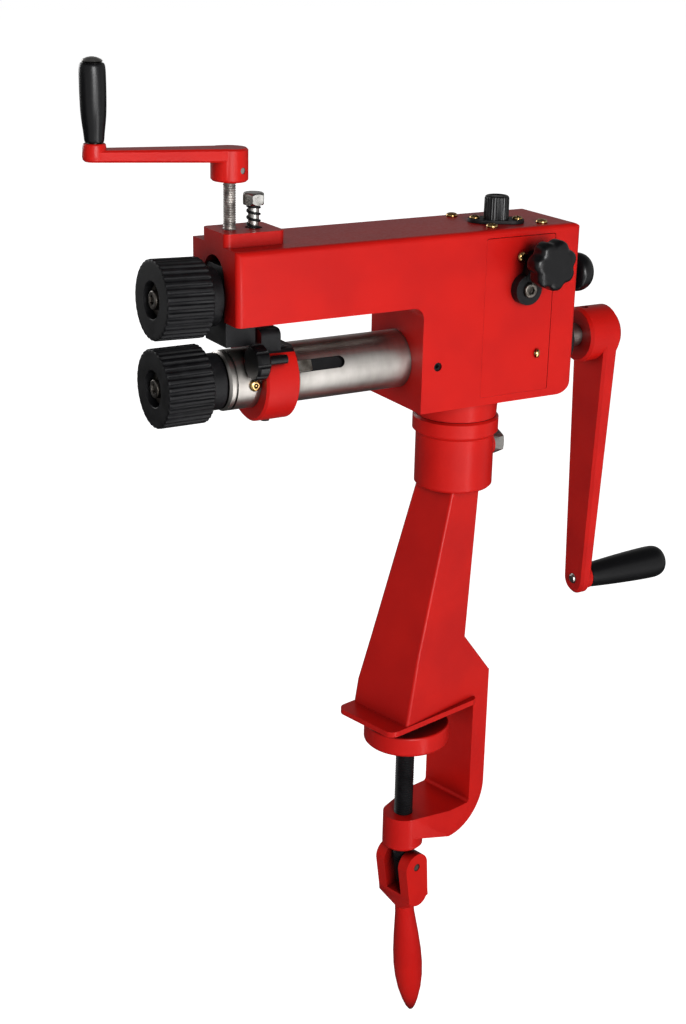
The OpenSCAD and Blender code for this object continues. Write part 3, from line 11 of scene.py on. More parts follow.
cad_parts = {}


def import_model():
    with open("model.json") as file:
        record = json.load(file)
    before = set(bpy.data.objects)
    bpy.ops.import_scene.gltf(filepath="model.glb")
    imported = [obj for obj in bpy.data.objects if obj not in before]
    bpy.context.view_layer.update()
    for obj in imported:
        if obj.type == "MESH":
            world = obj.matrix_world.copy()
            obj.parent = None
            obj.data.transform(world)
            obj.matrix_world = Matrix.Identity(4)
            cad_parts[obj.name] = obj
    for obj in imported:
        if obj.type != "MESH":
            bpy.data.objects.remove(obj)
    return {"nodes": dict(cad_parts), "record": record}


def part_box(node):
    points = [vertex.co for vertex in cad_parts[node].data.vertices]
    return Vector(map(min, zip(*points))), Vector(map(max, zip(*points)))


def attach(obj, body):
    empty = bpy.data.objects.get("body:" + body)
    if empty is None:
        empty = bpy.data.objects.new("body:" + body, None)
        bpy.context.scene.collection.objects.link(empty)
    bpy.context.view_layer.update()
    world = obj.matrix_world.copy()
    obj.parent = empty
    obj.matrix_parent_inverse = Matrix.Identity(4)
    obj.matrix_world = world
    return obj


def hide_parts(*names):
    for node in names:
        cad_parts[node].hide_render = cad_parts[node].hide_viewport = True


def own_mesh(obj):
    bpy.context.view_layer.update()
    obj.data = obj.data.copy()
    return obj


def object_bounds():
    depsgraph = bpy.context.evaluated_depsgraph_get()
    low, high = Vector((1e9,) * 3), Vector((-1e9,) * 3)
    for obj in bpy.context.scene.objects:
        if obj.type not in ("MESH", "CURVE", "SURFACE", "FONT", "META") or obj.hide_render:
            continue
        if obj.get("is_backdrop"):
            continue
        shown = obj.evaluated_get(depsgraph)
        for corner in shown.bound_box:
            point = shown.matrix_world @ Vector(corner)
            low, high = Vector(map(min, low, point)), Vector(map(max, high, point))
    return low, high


bl_info = {
    "name": "Bead Roller",
    "version": (1, 0, 0),
    "blender": (4, 5, 0),
    "location": "View3D > Sidebar > Bead Roller",
    "description": "Finishes, soft edges, threads and stage of a bench bead roller",
    "category": "Object",
}

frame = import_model()
CAD_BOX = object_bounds()
NODES = frame["nodes"]
MM = 0.001


def body_of(node):
    """The body that carries a node."""
    bodies = frame["record"]["behaviour"]["bodies"]
    return next(body for body, members in bodies.items() if node in members)


def slot_of(node):
    """The record's material slot of a node."""
    subparts = frame["record"]["subparts"]
    return next(part["material_slot"] for part in subparts if part["node"] == node)


# Colours

def linear(hex_colour):
    """Linear RGBA of an sRGB hex colour."""
    value = int(hex_colour.lstrip("#"), 16)
    parts = [((value >> shift) & 255) / 255 for shift in (16, 8, 0)]
    return (*[c / 12.92 if c <= 0.04045 else ((c + 0.055) / 1.055) ** 2.4 for c in parts], 1.0)


def colour_prop(name, text, hex_colour):
    """A colour that a user may change."""
    return FloatVectorProperty(
        name=name, description=text, subtype="COLOR", size=4,
        min=0.0, max=1.0, default=linear(hex_colour))


def length_prop(name, text, value):
    """A length that a user may change, given in millimetres."""
    return FloatProperty(
        name=name, description=text, unit="LENGTH", default=value * MM, min=0.0, precision=5)


class BEADROLLER_PG_colours(bpy.types.PropertyGroup):
    """Colours of the finishes."""
    enamel: colour_prop("Enamel", "Red enamel on the castings", "#CB1710")
    enamel_dark: colour_prop("Enamel shade", "Enamel where the coat is thick", "#BE130F")
    oxide: colour_prop("Black oxide", "Blackened steel of the rolls", "#0D0D0F")
    plastic: colour_prop("Plastic", "Black plastic of grips and knobs", "#0A0A0C")
    steel: colour_prop("Steel", "Turned and ground steel", "#BEBAB5")
    oiled: colour_prop("Oiled steel", "Steel left dark from its mill skin and oil", "#7A756F")
    zinc: colour_prop("Zinc", "Plated screws", "#BAB8B4")
    brass: colour_prop("Brass", "Oil cups and cover screws", "#CBAA72")
    bronze: colour_prop("Bronze", "Bearing bushes", "#93653A")
    backdrop: colour_prop("Backdrop", "Floor and background", "#FFFFFF")


class BEADROLLER_PG_sizes(bpy.types.PropertyGroup):
    """Sizes of the details that the looks add."""
    cast_edge: length_prop("Cast edge", "Rounding of the castings", 1.8)
    cover_edge: length_prop("Cover edge", "Rounding of the side cover", 0.25)
    steel_edge: length_prop("Steel edge", "Rounding of machined edges", 0.4)
    flute_edge: length_prop("Flute edge", "Rounding of the rolls' rims", 0.35)
    clamp_pitch: length_prop("Clamp pitch", "Pitch of the clamp screw's thread", 2.0)
    clamp_thread: length_prop("Clamp thread", "Depth of the clamp screw's thread", 1.1)
    press_pitch: length_prop("Press pitch", "Pitch of the press screw's thread", 1.5)
    press_thread: length_prop("Press thread", "Depth of the press screw's thread", 0.75)
    spring_wire: length_prop("Spring wire", "Diameter of the lift spring's wire", 1.6)
    spring_curls: IntProperty(
        name="Spring curls", description="Curls of the lift spring", default=5, min=2, max=12)
    flutes: IntProperty(
        name="Flutes", description="Flutes round each roll", default=32, min=8, max=80)
    flute_depth: length_prop("Flute depth", "Depth of the rolls' flutes", 1.5)
    star_lobes: IntProperty(
        name="Star lobes", description="Lobes of the side knob", default=7, min=3, max=12)
    lamp_strength: FloatProperty(
        name="Lamp strength", description="Scale of all the lamps", default=1.0, min=0.0)


def colours():
    """The colours that a user may change."""
    return bpy.context.scene.beadroller_colours


def sizes():
    """The sizes that a user may change."""
    return bpy.context.scene.beadroller_sizes


# Materials

def add(tree, kind, inputs=None, **settings):
    """Adds a node, sets it, and fills its inputs or links them to sockets or nodes."""
    node = tree.nodes.new(kind)
    for name, value in settings.items():
        setattr(node, name, value)
    for key, value in (inputs or {}).items():
        socket = node.inputs[key]
        if isinstance(value, bpy.types.Node):
            value = value.outputs[0]
        if isinstance(value, bpy.types.NodeSocket):
            tree.links.new(value, socket)
        else:
            socket.default_value = value
    return node


def new_material(name):
    """An empty material, its node tree and its object coordinates."""
    material = bpy.data.materials.new(name)
    material.use_nodes = True
    tree = material.node_tree
    tree.nodes.clear()
    place = add(tree, "ShaderNodeTexCoord").outputs["Object"]
    return material, tree, place


def noise(tree, place, size, detail=2.0, stretch=(1, 1, 1), rough=0.5):
    """Noise from 0 to 1 with features of a size in millimetres, drawn out along some axes."""
    if stretch != (1, 1, 1):
        place = add(tree, "ShaderNodeMapping", {"Vector": place, "Scale": stretch}).outputs[0]
    node = add(tree, "ShaderNodeTexNoise", {
        "Vector": place, "Scale": 1.0 / (size * MM), "Detail": detail,
        "Roughness": rough})
    return node.outputs["Fac"]


def ramp(tree, value, low, high, out_low=0.0, out_high=1.0):
    """Maps a range of a value onto another one, smoothly and clamped."""
    node = add(tree, "ShaderNodeMapRange", {
        "Value": value, "From Min": low, "From Max": high, "To Min": out_low,
        "To Max": out_high}, interpolation_type="SMOOTHSTEP")
    return node.outputs["Result"]


def mix(tree, share, low, high):
    """Colour between two, each given as a socket, a value or hex."""
    low, high = (linear(value) if isinstance(value, str) else value for value in (low, high))
    return add(tree, "ShaderNodeMix", {0: share, 6: low, 7: high}, data_type="RGBA").outputs[2]


def bump(tree, height, depth, normal=None):
    """Normal of a surface whose height is given, from 0 to 1, as a depth in millimetres."""
    inputs = {"Height": height, "Distance": depth * MM, "Strength": 1.0}
    if normal is not None:
        inputs["Normal"] = normal
    return add(tree, "ShaderNodeBump", inputs).outputs["Normal"]


def finish_material(material, colour, rough, normal, metallic=0.0, ior=1.5):
    """Closes a material with its shader."""
    tree = material.node_tree
    shader = add(tree, "ShaderNodeBsdfPrincipled", {
        "Base Color": colour, "Roughness": rough, "Normal": normal, "Metallic": metallic,
        "IOR": ior})
    add(tree, "ShaderNodeOutputMaterial", {"Surface": shader})
    return material


def painted_corner_shade(tree, colour, reach, least, shade):
    """A colour with painted shade: it sinks to a darker colour in corners tighter than a reach in
    millimetres.
    """
    node = add(tree, "ShaderNodeAmbientOcclusion", {"Distance": reach * MM}, samples=8)
    return mix(tree, ramp(tree, node.outputs["AO"], least, OPEN_FACE), shade, colour)


# Share of free space from which a face counts as open and gets no painted shade
OPEN_FACE = 0.95


def enamel():
    """Gloss enamel sprayed on sand cast iron: an even coat that follows a fine grainy skin."""
    material, tree, place = new_material("gloss_enamel_on_cast_iron")
    mottle = noise(tree, place, 45)
    grain = noise(tree, place, 2.2, 3.0, rough=0.6)
    peel = noise(tree, place, 0.8, 1.0)
    colour = mix(tree, ramp(tree, mottle, 0.3, 0.7), colours().enamel_dark, colours().enamel)
    pit = ramp(tree, noise(tree, place, 1.5), 0.68, 0.80, 0.0, 0.25)
    colour = mix(tree, pit, colour, "#7A0C0E")
    # Painted shade: the enamel sinks to a deep red in corners and hollows
    colour = painted_corner_shade(tree, colour, 26, 0.12, "#2A0405")
    normal = bump(tree, grain, 0.035)
    normal = bump(tree, peel, 0.010, normal)
    rough = ramp(tree, grain, 0.2, 0.8, 0.30, 0.40)
    return finish_material(material, colour, rough, normal, ior=1.30)


def black_oxide():
    """Steel blackened in an oxide bath: matt black, a little greyer where it was handled."""
    material, tree, place = new_material("black_oxide_steel")
    cloud = noise(tree, place, 9, 3.0)
    colour = mix(tree, ramp(tree, cloud, 0.35, 0.75), colours().oxide, "#19191B")
    normal = bump(tree, noise(tree, place, 0.7), 0.012)
    rough = ramp(tree, cloud, 0.3, 0.7, 0.44, 0.56)
    return finish_material(material, colour, rough, normal, ior=1.28)


def moulded_plastic():
    """Moulded phenolic plastic: near black and glossy, with a slightly wavy skin."""
    material, tree, place = new_material("moulded_black_phenolic")
    dust = ramp(tree, noise(tree, place, 1.1, 3.0), 0.55, 0.8)
    colour = mix(tree, dust, colours().plastic, "#101012")
    normal = bump(tree, noise(tree, place, 7), 0.04)
    rough = ramp(tree, dust, 0.0, 1.0, 0.30, 0.42)
    return finish_material(material, colour, rough, normal, ior=1.36)


def turned_steel():
    """Bar steel turned on a lathe: satin grey with fine rings round the shaft's own axis."""
    material, tree, place = new_material("turned_bar_steel")
    # The rings are drawn about 0.6 mm apart, because true tool marks are too fine to show
    rings = noise(tree, place, 0.6, 2.0, stretch=(1, 0.01, 0.01))
    stain = noise(tree, place, 18, 4.0, stretch=(1, 0.5, 0.5))
    colour = mix(tree, ramp(tree, stain, 0.3, 0.75), "#9F9A95", colours().steel)
    # Painted shade: the steel sinks to near black in corners tighter than 5 mm
    colour = painted_corner_shade(tree, colour, 5, 0.1, "#1B1917")
    normal = bump(tree, rings, 0.003)
    rough = ramp(tree, rings, 0.3, 0.7, 0.33, 0.42)
    return finish_material(material, colour, rough, normal, metallic=1.0)


def cloudy_metal(name, cloud, dull, bright, grain, depth, rough, from_share=0.3, corner=None):
    """A metal that drifts in clouds, with a fine grain; corner, if given, is a reach, a least
    share and a colour of painted shade in its corners.
    """
    material, tree, place = new_material(name)
    drift = noise(tree, place, cloud, 3.0)
    colour = mix(tree, ramp(tree, drift, from_share, 0.7), dull, bright)
    if corner:
        colour = painted_corner_shade(tree, colour, *corner)
    normal = bump(tree, noise(tree, place, grain), depth)
    return finish_material(
        material, colour, ramp(tree, drift, 0.3, 0.7, *rough), normal, metallic=1.0)


def oiled_steel():
    """Milled steel with a film of oil: dark grey, with painted shade in its hollows."""
    return cloudy_metal(
        "oiled_milled_steel", 6, "#4E4842", colours().oiled, 0.7,
        0.008, (0.36, 0.48), corner=(4, 0.1, "#0E0C0B"))


def rolled_thread():
    """A rolled steel thread: plain grey."""
    return cloudy_metal(
        "rolled_steel_thread", 5, "#94918E", "#CFCCC8", 0.6, 0.006, (0.42, 0.52))


def zinc_plate():
    """Zinc plated screw steel: bright, a little cloudy, with painted shade in its corners."""
    return cloudy_metal(
        "zinc_plated_steel", 5, "#A3A19D", colours().zinc, 0.6,
        0.006, (0.24, 0.34), corner=(2, 0.2, "#242220"))


def turned_brass():
    """Turned brass: warm yellow, with painted shade in its corners."""
    return cloudy_metal(
        "turned_brass", 4, "#A98450", colours().brass, 0.5, 0.006, (0.20, 0.30), from_share=0.25,
        corner=(2, 0.3, "#2B1A08"))


def sintered_bronze():
    """Oil soaked sintered bronze: dull brown with open pores."""
    material, tree, place = new_material("sintered_bronze")
    pores = noise(tree, place, 0.5, 3.0)
    colour = mix(tree, ramp(tree, pores, 0.3, 0.6), "#4B3218", colours().bronze)
    rough = ramp(tree, pores, 0.3, 0.7, 0.40, 0.55)
    return finish_material(material, colour, rough, bump(tree, pores, 0.02), metallic=1.0)


FINISH_OF_SLOT = {
    "red_enamel": enamel, "black_steel": black_oxide,
    "black_plastic": moulded_plastic, "bright_steel": turned_steel,
    "brass": turned_brass, "bronze": sintered_bronze}
# Nodes that differ from the rest of their slot
FINISH_OF_NODE = {
    **dict.fromkeys((
        "socket_bolt", "lift_bolt", "press_crank_pin", "press_grip_cap", "star_knob_stud",
        "crank_spindle", "press_spindle"), zinc_plate),
    **dict.fromkeys((
        "press_foot", "lower_roll_screw", "upper_roll_screw", "lower_roll_washer",
        "upper_roll_washer", "stop_key", "lug_screw", "fork_pin"), oiled_steel),
    **dict.fromkeys(("flange_screws", "cover_screws"), turned_brass),
    "bearing_block": black_oxide, "press_screw": rolled_thread}
MADE = {}


def material_of(node):
    """The finished material of a node, made once."""
    kind = FINISH_OF_NODE.get(node) or FINISH_OF_SLOT[slot_of(node)]
    if kind not in MADE:
        MADE[kind] = kind()
    return MADE[kind]


# Pieces

JOINTS = {joint["name"]: joint for joint in frame["record"]["behaviour"]["joints"]}
RIGHT, FRONT, UP = Vector((1, 0, 0)), Vector((0, -1, 0)), Vector((0, 0, 1))
# Vertices closer than this are one, and faces that turn by less are one flat face
WELD = 0.002 * MM
FLAT_BELOW = math.radians(0.3)
# Edges that turn by more get rounded, and faces that turn by less are shaded as one
SHARP_ABOVE = math.radians(38)
SMOOTH_BELOW = math.radians(35)


def axle(joint, ahead=None):
    """A point on a hinge's axis, and the axis's direction, on the side that faces ahead."""
    place, along = Vector(JOINTS[joint]["pos_m"]), Vector(JOINTS[joint]["axis"]).normalized()
    if ahead is not None and along.dot(ahead) < 0:
        along = -along
    return place, along


def span(node, place, along):
    """A node's lowest and highest distance along an axis, and its greatest radius."""
    reach = [vertex.co - place for vertex in NODES[node].data.vertices]
    rise = [point.dot(along) for point in reach]
    radius = max((point - along * point.dot(along)).length for point in reach)
    return min(rise), max(rise), radius


def new_piece(name, mesh):
    """Links an object for a mesh, at the origin."""
    piece = bpy.data.objects.new(name, mesh)
    bpy.context.scene.collection.objects.link(piece)
    return piece


def made(name, work):
    """A piece from an editable mesh, which is used up."""
    mesh = bpy.data.meshes.new(name)
    work.to_mesh(mesh)
    work.free()
    return new_piece(name, mesh)


def discard(piece):
    """Removes a piece and its mesh."""
    mesh = piece.data
    bpy.data.objects.remove(piece)
    bpy.data.meshes.remove(mesh)


def keep(piece, *nodes):
    """Makes a finished piece stand for CAD nodes of one body."""
    piece.data.materials.clear()
    piece.data.materials.append(material_of(nodes[0]))
    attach(piece, body_of(nodes[0]))
    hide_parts(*nodes)
    return piece


def baked(piece):
    """Turns a piece's modifiers into its mesh."""
    shown = piece.evaluated_get(bpy.context.evaluated_depsgraph_get())
    mesh = bpy.data.meshes.new_from_object(shown)
    piece.modifiers.clear()
    old = piece.data
    piece.data = mesh
    bpy.data.meshes.remove(old)
    return piece


def modified(piece, kind, **settings):
    """Changes a piece by a modifier with these settings."""
    change = piece.modifiers.new(kind.lower(), kind)
    for name, value in settings.items():
        setattr(change, name, value)
    return baked(piece)


def smoothed(piece, weigh=False):
    """Smooth shading between gently angled faces, weighed by their areas if asked."""
    piece.data.shade_smooth()
    piece.data.set_sharp_from_angle(angle=SMOOTH_BELOW)
    if weigh:
        modified(piece, "WEIGHTED_NORMAL", mode="FACE_AREA", keep_sharp=True, weight=100)
    return piece


def joined(name, *pieces):
    """One piece from several."""
    work = bmesh.new()
    for piece in pieces:
        work.from_mesh(piece.data)
        discard(piece)
    return made(name, work)


def merged_copy(node, name):
    """A piece with a CAD node's mesh, its doubles merged and its flat faces joined."""
    mesh = NODES[node].data.copy()
    mesh.materials.clear()
    work = bmesh.new()
    work.from_mesh(mesh)
    bmesh.ops.remove_doubles(work, verts=work.verts, dist=WELD)
    bmesh.ops.dissolve_limit(work, angle_limit=FLAT_BELOW, verts=work.verts, edges=work.edges)
    work.to_mesh(mesh)
    work.free()
    if "custom_normal" in mesh.attributes:
        mesh.attributes.remove(mesh.attributes["custom_normal"])
    return new_piece(name, mesh)


def softened(node, width, steps=3, spare=None, first=None):
    """A piece for a CAD node, its sharp edges rounded but for those to spare."""
    piece = merged_copy(node, node + "_soft")
    work = bmesh.new()
    work.from_mesh(piece.data)
    if first:
        first(work)
    weights = work.edges.layers.float.new("bevel_weight_edge")
    for edge in work.edges:
        middle = (edge.verts[0].co + edge.verts[1].co) / 2
        if edge.calc_face_angle(0.0) > SHARP_ABOVE and not (spare and spare(middle)):
            edge[weights] = 1.0
    work.to_mesh(piece.data)
    work.free()
    modified(piece, "BEVEL", width=width, segments=steps, limit_method="WEIGHT",
             use_clamp_overlap=True)
    return keep(smoothed(piece, weigh=True), node)


def eased(points, steps=5):
    """Points of a smooth curve through the given ones."""
    curve = []
    for a, b, c, d in zip(points[:1] + points, points, points[1:], points[2:] + points[-1:]):
        for step in range(steps):
            t = step / steps
            curve.append(tuple(
                0.5 * (2 * q + (r - p) * t + (2 * p - 5 * q + 4 * r - s) * t * t
                       + (3 * q - p - 3 * r + s) * t ** 3)
                for p, q, r, s in zip(a, b, c, d)))
    curve.append(tuple(points[-1]))
    return curve


def profile(start, step, radius, table, deep=0.0):
    """Outline points from rows: steps past start, share of radius, any share of depth."""
    return [(start + step * at, radius * wide, *(deep * cut for cut in cuts))
            for at, wide, *cuts in table]


def rim(end, step, radius, table, deep):
    """Outline points from rows: steps from an end, steps inside the radius, depth share."""
    return [(end + step * at, radius - abs(step) * inside, deep * cut)
            for at, inside, cut in table]


def turned(name, place, along, outline, sides=64, ripple=None):
    """A closed piece turned about an axis from (distance, radius) pairs, or triples whose
    third value is how deep the ripple cuts there, by its share from 0 to 1 at each angle."""
    side = along.orthogonal().normalized()
    other = along.cross(side)
    work = bmesh.new()
    rings = []
    for distance, radius, *depth in outline:
        ring = []
        for i in range(sides if radius > 0 else 1):
            angle = math.tau * i / sides
            reach = radius - (depth[0] * ripple(angle) if depth and ripple else 0.0)
            ring.append(work.verts.new(place + along * distance + reach * (
                side * math.cos(angle) + other * math.sin(angle))))
        rings.append(ring)
    for low, high in zip(rings, rings[1:]):
        for i in range(sides):
            j = (i + 1) % sides
            corners = dict.fromkeys((
                low[i % len(low)], low[j % len(low)], high[j % len(high)], high[i % len(high)]))
            if len(corners) > 2:
                work.faces.new(list(corners))
    bmesh.ops.recalc_face_normals(work, faces=work.faces)
    return smoothed(made(name, work))


def wave(angle, count):
    """A share that rises smoothly from 0 to 1 and back, a number of times round."""
    return 0.5 - 0.5 * math.cos(angle * count)


# Geometry node trees

def new_tree(name, **inputs):
    """A geometry node tree with named inputs, its input sockets and its output node."""
    tree = bpy.data.node_groups.new(name, "GeometryNodeTree")
    tree.interface.new_socket("Geometry", in_out="INPUT", socket_type="NodeSocketGeometry")
    for key, kind in inputs.items():
        tree.interface.new_socket(key, in_out="INPUT", socket_type="NodeSocket" + kind)
    tree.interface.new_socket("Geometry", in_out="OUTPUT", socket_type="NodeSocketGeometry")
    start = add(tree, "NodeGroupInput").outputs
    return tree, start, add(tree, "NodeGroupOutput")


def finish_tree(tree, geometry, end, material):
    """Ends a tree in real geometry with its material."""
    real = add(tree, "GeometryNodeRealizeInstances", {"Geometry": geometry})
    painted = add(tree, "GeometryNodeSetMaterial", {
        "Geometry": real, "Material": material})
    tree.links.new(painted.outputs[0], end.inputs[0])


def run_tree(piece, tree, **values):
    """Sets a tree's named inputs on a piece and turns the result into its mesh."""
    maker = piece.modifiers.new(tree.name, "NODES")
    maker.node_group = tree
    for item in tree.interface.items_tree:
        if item.in_out == "INPUT" and item.name in values:
            maker[item.identifier] = values[item.name]
    return baked(piece)


def calc(tree, operation, *values, clamp=False):
    """Result of a sum on sockets and numbers."""
    return add(tree, "ShaderNodeMath", dict(enumerate(values)), operation=operation,
               use_clamp=clamp).outputs[0]


# Share of an even climb that a helix keeps in its flat ends
END_CLIMB = 0.12


def wound_tree(material):
    """A section swept along a helix, whose ends may lie flat."""
    tree, size, end = new_tree(
        "wound", Radius="Float", Height="Float", Turns="Float",
        Deep="Float", Wide="Float", Sides="Int", Steps="Int", Flat="Float")
    helix = add(tree, "GeometryNodeCurveSpiral", {
        "Resolution": size["Steps"], "Rotations": size["Turns"], "Start Radius": size["Radius"],
        "End Radius": size["Radius"], "Height": size["Height"]})
    share = add(tree, "GeometryNodeSplineParameter").outputs["Factor"]
    middle = calc(tree, "SUBTRACT", 1.0, calc(tree, "MULTIPLY", size["Flat"], 2.0))
    climb = calc(tree, "DIVIDE", calc(tree, "SUBTRACT", share, size["Flat"]), middle, clamp=True)
    mixed = calc(tree, "ADD", calc(tree, "MULTIPLY", share, END_CLIMB),
                 calc(tree, "MULTIPLY", climb, 1.0 - END_CLIMB))
    rise = calc(tree, "MULTIPLY", size["Height"], calc(tree, "SUBTRACT", mixed, share))
    shift = add(tree, "ShaderNodeCombineXYZ", {"Z": rise})
    path = add(tree, "GeometryNodeSetPosition", {
        "Geometry": helix, "Offset": shift})
    upright = add(tree, "GeometryNodeSetCurveNormal", {"Curve": path}, mode="Z_UP")
    ring = add(tree, "GeometryNodeCurvePrimitiveCircle", {
        "Resolution": size["Sides"], "Radius": 1.0}, mode="RADIUS")
    shape = add(tree, "ShaderNodeCombineXYZ", {"X": size["Deep"], "Y": size["Wide"], "Z": 1.0})
    section = add(tree, "GeometryNodeTransform", {
        "Geometry": ring, "Scale": shape})
    body = add(tree, "GeometryNodeCurveToMesh", {
        "Curve": upright, "Profile Curve": section, "Fill Caps": True})
    finish_tree(tree, body, end, material)
    return tree


def wound(name, node, place, **values):
    """A helix from its tree, moved to its place."""
    piece = new_piece(name, bpy.data.meshes.new(name))
    run_tree(piece, wound_tree(material_of(node)), **values)
    piece.data.transform(Matrix.Translation(place))
    return smoothed(piece)


def placed_tree(material):
    """A part set on every point, turned as the point's turn says."""
    tree, start, end = new_tree("placed", Part="Object")
    part = add(tree, "GeometryNodeObjectInfo", {"Object": start["Part"]})
    turn = add(tree, "GeometryNodeInputNamedAttribute", {"Name": "turn"},
               data_type="FLOAT_VECTOR")
    spin = add(tree, "FunctionNodeEulerToRotation", {0: turn})
    many = add(tree, "GeometryNodeInstanceOnPoints", {
        "Points": start["Geometry"], "Instance": part.outputs["Geometry"],
        "Rotation": spin})
    finish_tree(tree, many, end, material)
    return tree


def placed(name, node, part, places):
    """Copies of a part, made along Z, at places given with their turns in degrees."""
    mesh = bpy.data.meshes.new(name)
    mesh.from_pydata([place for place, turn in places], [], [])
    turns = mesh.attributes.new("turn", "FLOAT_VECTOR", "POINT")
    for row, (place, turn) in zip(turns.data, places):
        row.vector = [math.radians(angle) for angle in turn]
    piece = run_tree(new_piece(name, mesh), placed_tree(material_of(node)), Part=part)
    discard(part)
    return keep(smoothed(piece), node)


# Castings

COVER_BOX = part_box("side_cover")
HEAD_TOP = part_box("oil_cap_flange")[0].z
# How far round the cover its seat reaches, and the radius of the gearbox's rear top edge
SEAT_REACH, REAR_EDGE_R = 2 * MM, 5.5 * MM
# How much more than the others these castings are rounded
CRANK_EDGE, HANDLE_EDGE, HEAD_EDGE = 1.3, 1.8, 1.2
# The press crank's arm: its lift, the depth over which that grows, half the grip's seat, and
# the height of the spindle's foot
ARM_LIFT, LIFT_DEPTH, SEAT_HALF, FOOT_RISE = 3.2 * MM, 6 * MM, 4 * MM, 1.5 * MM
# Height over the edge stop's foot from which it is painted black: a painted shadow on the red
# upright under the head's arm
PAINTED_SHADOW_FROM = 49 * MM


def in_cover_seat(point):
    """Whether a point of the head lies on the mouth of the cover's seat."""
    low, high = COVER_BOX
    return (low.x - SEAT_REACH < point.x < high.x + SEAT_REACH
            and low.z - SEAT_REACH < point.z < high.z + SEAT_REACH
            and point.y < high.y + SEAT_REACH)


def on_seated_edge(point):
    """Whether a point of the cover lies where its front or its foot meets the seat."""
    low = COVER_BOX[0]
    return point.x < low.x + MM or point.z < low.z + MM


def second_finish(piece, node, chosen):
    """Gives the faces of a piece whose middles are chosen the finish of another node."""
    piece.data.materials.append(material_of(node))
    for face in piece.data.polygons:
        if chosen(face.center):
            face.material_index = 1


def cut(work, place, way, **more):
    """Cuts an editable mesh by a plane, and returns the edges of the cut."""
    found = bmesh.ops.bisect_plane(
        work, geom=work.verts[:] + work.edges[:] + work.faces[:],
        plane_co=place, plane_no=way, **more)["geom_cut"]
    return [part for part in found if isinstance(part, bmesh.types.BMEdge)]


def round_head(work):
    """Rounds the gearbox's rear top edge by planes that cut it off."""
    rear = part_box("head_casting")[1].x
    middle = Vector((rear - REAR_EDGE_R, 0, HEAD_TOP - REAR_EDGE_R))
    for degrees in (11.25, 33.75, 56.25, 78.75):
        way = Vector((math.cos(math.radians(degrees)), 0, math.sin(math.radians(degrees))))
        edges = cut(work, middle + way * REAR_EDGE_R, way, dist=0.001 * MM, clear_outer=True)
        bmesh.ops.edgenet_fill(work, edges=edges)


def shift_foot(piece, height, rise):
    """Moves the vertices of a piece that lie under a height."""
    for vertex in piece.data.vertices:
        if vertex.co.z < height:
            vertex.co.z += rise


def raise_arm(piece):
    """Lifts the press crank's arm towards its grip, where the photo shows it higher."""
    eye = axle("press_grip_spin")[0]
    hub = axle("press_turn")[0]
    seat = max(vertex.co.z for vertex in piece.data.vertices
               if abs(vertex.co.x - eye.x) < SEAT_HALF)
    for vertex in piece.data.vertices:
        share = min(1.0, max(0.0, (hub.x - vertex.co.x) / (hub.x - eye.x)))
        vertex.co.z += ARM_LIFT * share * min(1.0, (seat - vertex.co.z) / LIFT_DEPTH)
    spindle = softened("press_spindle", sizes().steel_edge, steps=2)
    shift_foot(spindle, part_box("press_spindle")[0].z + FOOT_RISE, ARM_LIFT)


class BEADROLLER_OT_castings(bpy.types.Operator):
    """Round the edges of the enamelled castings"""
    bl_idname = "beadroller.castings"
    bl_label = "Castings"

    def execute(self, context):
        edge = sizes().cast_edge
        for node in ("stand_casting", "drive_crank", "clamp_pad"):
            softened(node, edge)
        raise_arm(softened("press_crank", edge * CRANK_EDGE, steps=4))
        softened("fork_handle", edge * HANDLE_EDGE, steps=5)
        softened("head_casting", edge * HEAD_EDGE, steps=4, spare=in_cover_seat,
                 first=round_head)
        softened("side_cover", sizes().cover_edge, steps=2, spare=on_seated_edge)
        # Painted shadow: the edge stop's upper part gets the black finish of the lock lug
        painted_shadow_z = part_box("edge_stop")[0].z + PAINTED_SHADOW_FROM
        second_finish(softened("edge_stop", edge), "lock_lug", lambda middle: middle.z > painted_shadow_z)
        return {"FINISHED"}


STEELWORK = (
    "socket_bolt", "bearing_block", "lower_roll_spacer", "lug_screw", "lock_lug",
    "rear_bearing_cap", "oil_cap_flange", "fork_pin", "press_foot", "stop_key",
    "lower_roll_screw", "upper_roll_screw", "lower_roll_washer", "upper_roll_washer",
    "crank_spindle", "lower_shaft")
# Rounding of the lift bolt, and how much lower the bearing block's nose hangs
BOLT_EDGE, NOSE_DROP = 1.1 * MM, 5.5 * MM
# The tube's keyway, whose inside is painted black as painted shade: its reach along X, its place
# before the axis, the least radius of its floor, and its least depth under the skin
KEYWAY_X = (-0.16, -0.10)
KEYWAY_FRONT, KEYWAY_FLOOR, KEYWAY_SKIN = 5 * MM, 13 * MM, 0.7 * MM


class BEADROLLER_OT_steelwork(bpy.types.Operator):
    """Break the edges of the machined steel parts"""
    bl_idname = "beadroller.steelwork"
    bl_label = "Steelwork"

    def execute(self, context):
        for node in STEELWORK:
            softened(node, sizes().steel_edge, steps=2)
        softened("lift_bolt", BOLT_EDGE, steps=4)
        block = bpy.data.objects["bearing_block_soft"]
        shift_foot(block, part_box("bearing_block")[0].z + MM, -NOSE_DROP)
        place, along = axle("drive_turn")
        tube = softened("lower_tube", sizes().steel_edge, steps=2)
        radius = span("lower_tube", place, along)[2]

        def in_keyway_shade(middle):
            arm = middle - place
            return (KEYWAY_X[0] < middle.x < KEYWAY_X[1] and middle.y < -KEYWAY_FRONT
                    and KEYWAY_FLOOR < Vector((arm.y, arm.z)).length < radius - KEYWAY_SKIN)
        # Painted shade: the keyway's inside gets the black finish of the lock lug
        second_finish(tube, "lock_lug", in_keyway_shade)
        return {"FINISHED"}


# Rolls

# A roll's bore, and the room in its recess round the washer and behind it
ROLL_BORE, RECESS_ROOM, RECESS_BEHIND = 9.1 * MM, 1.4 * MM, 0.6 * MM
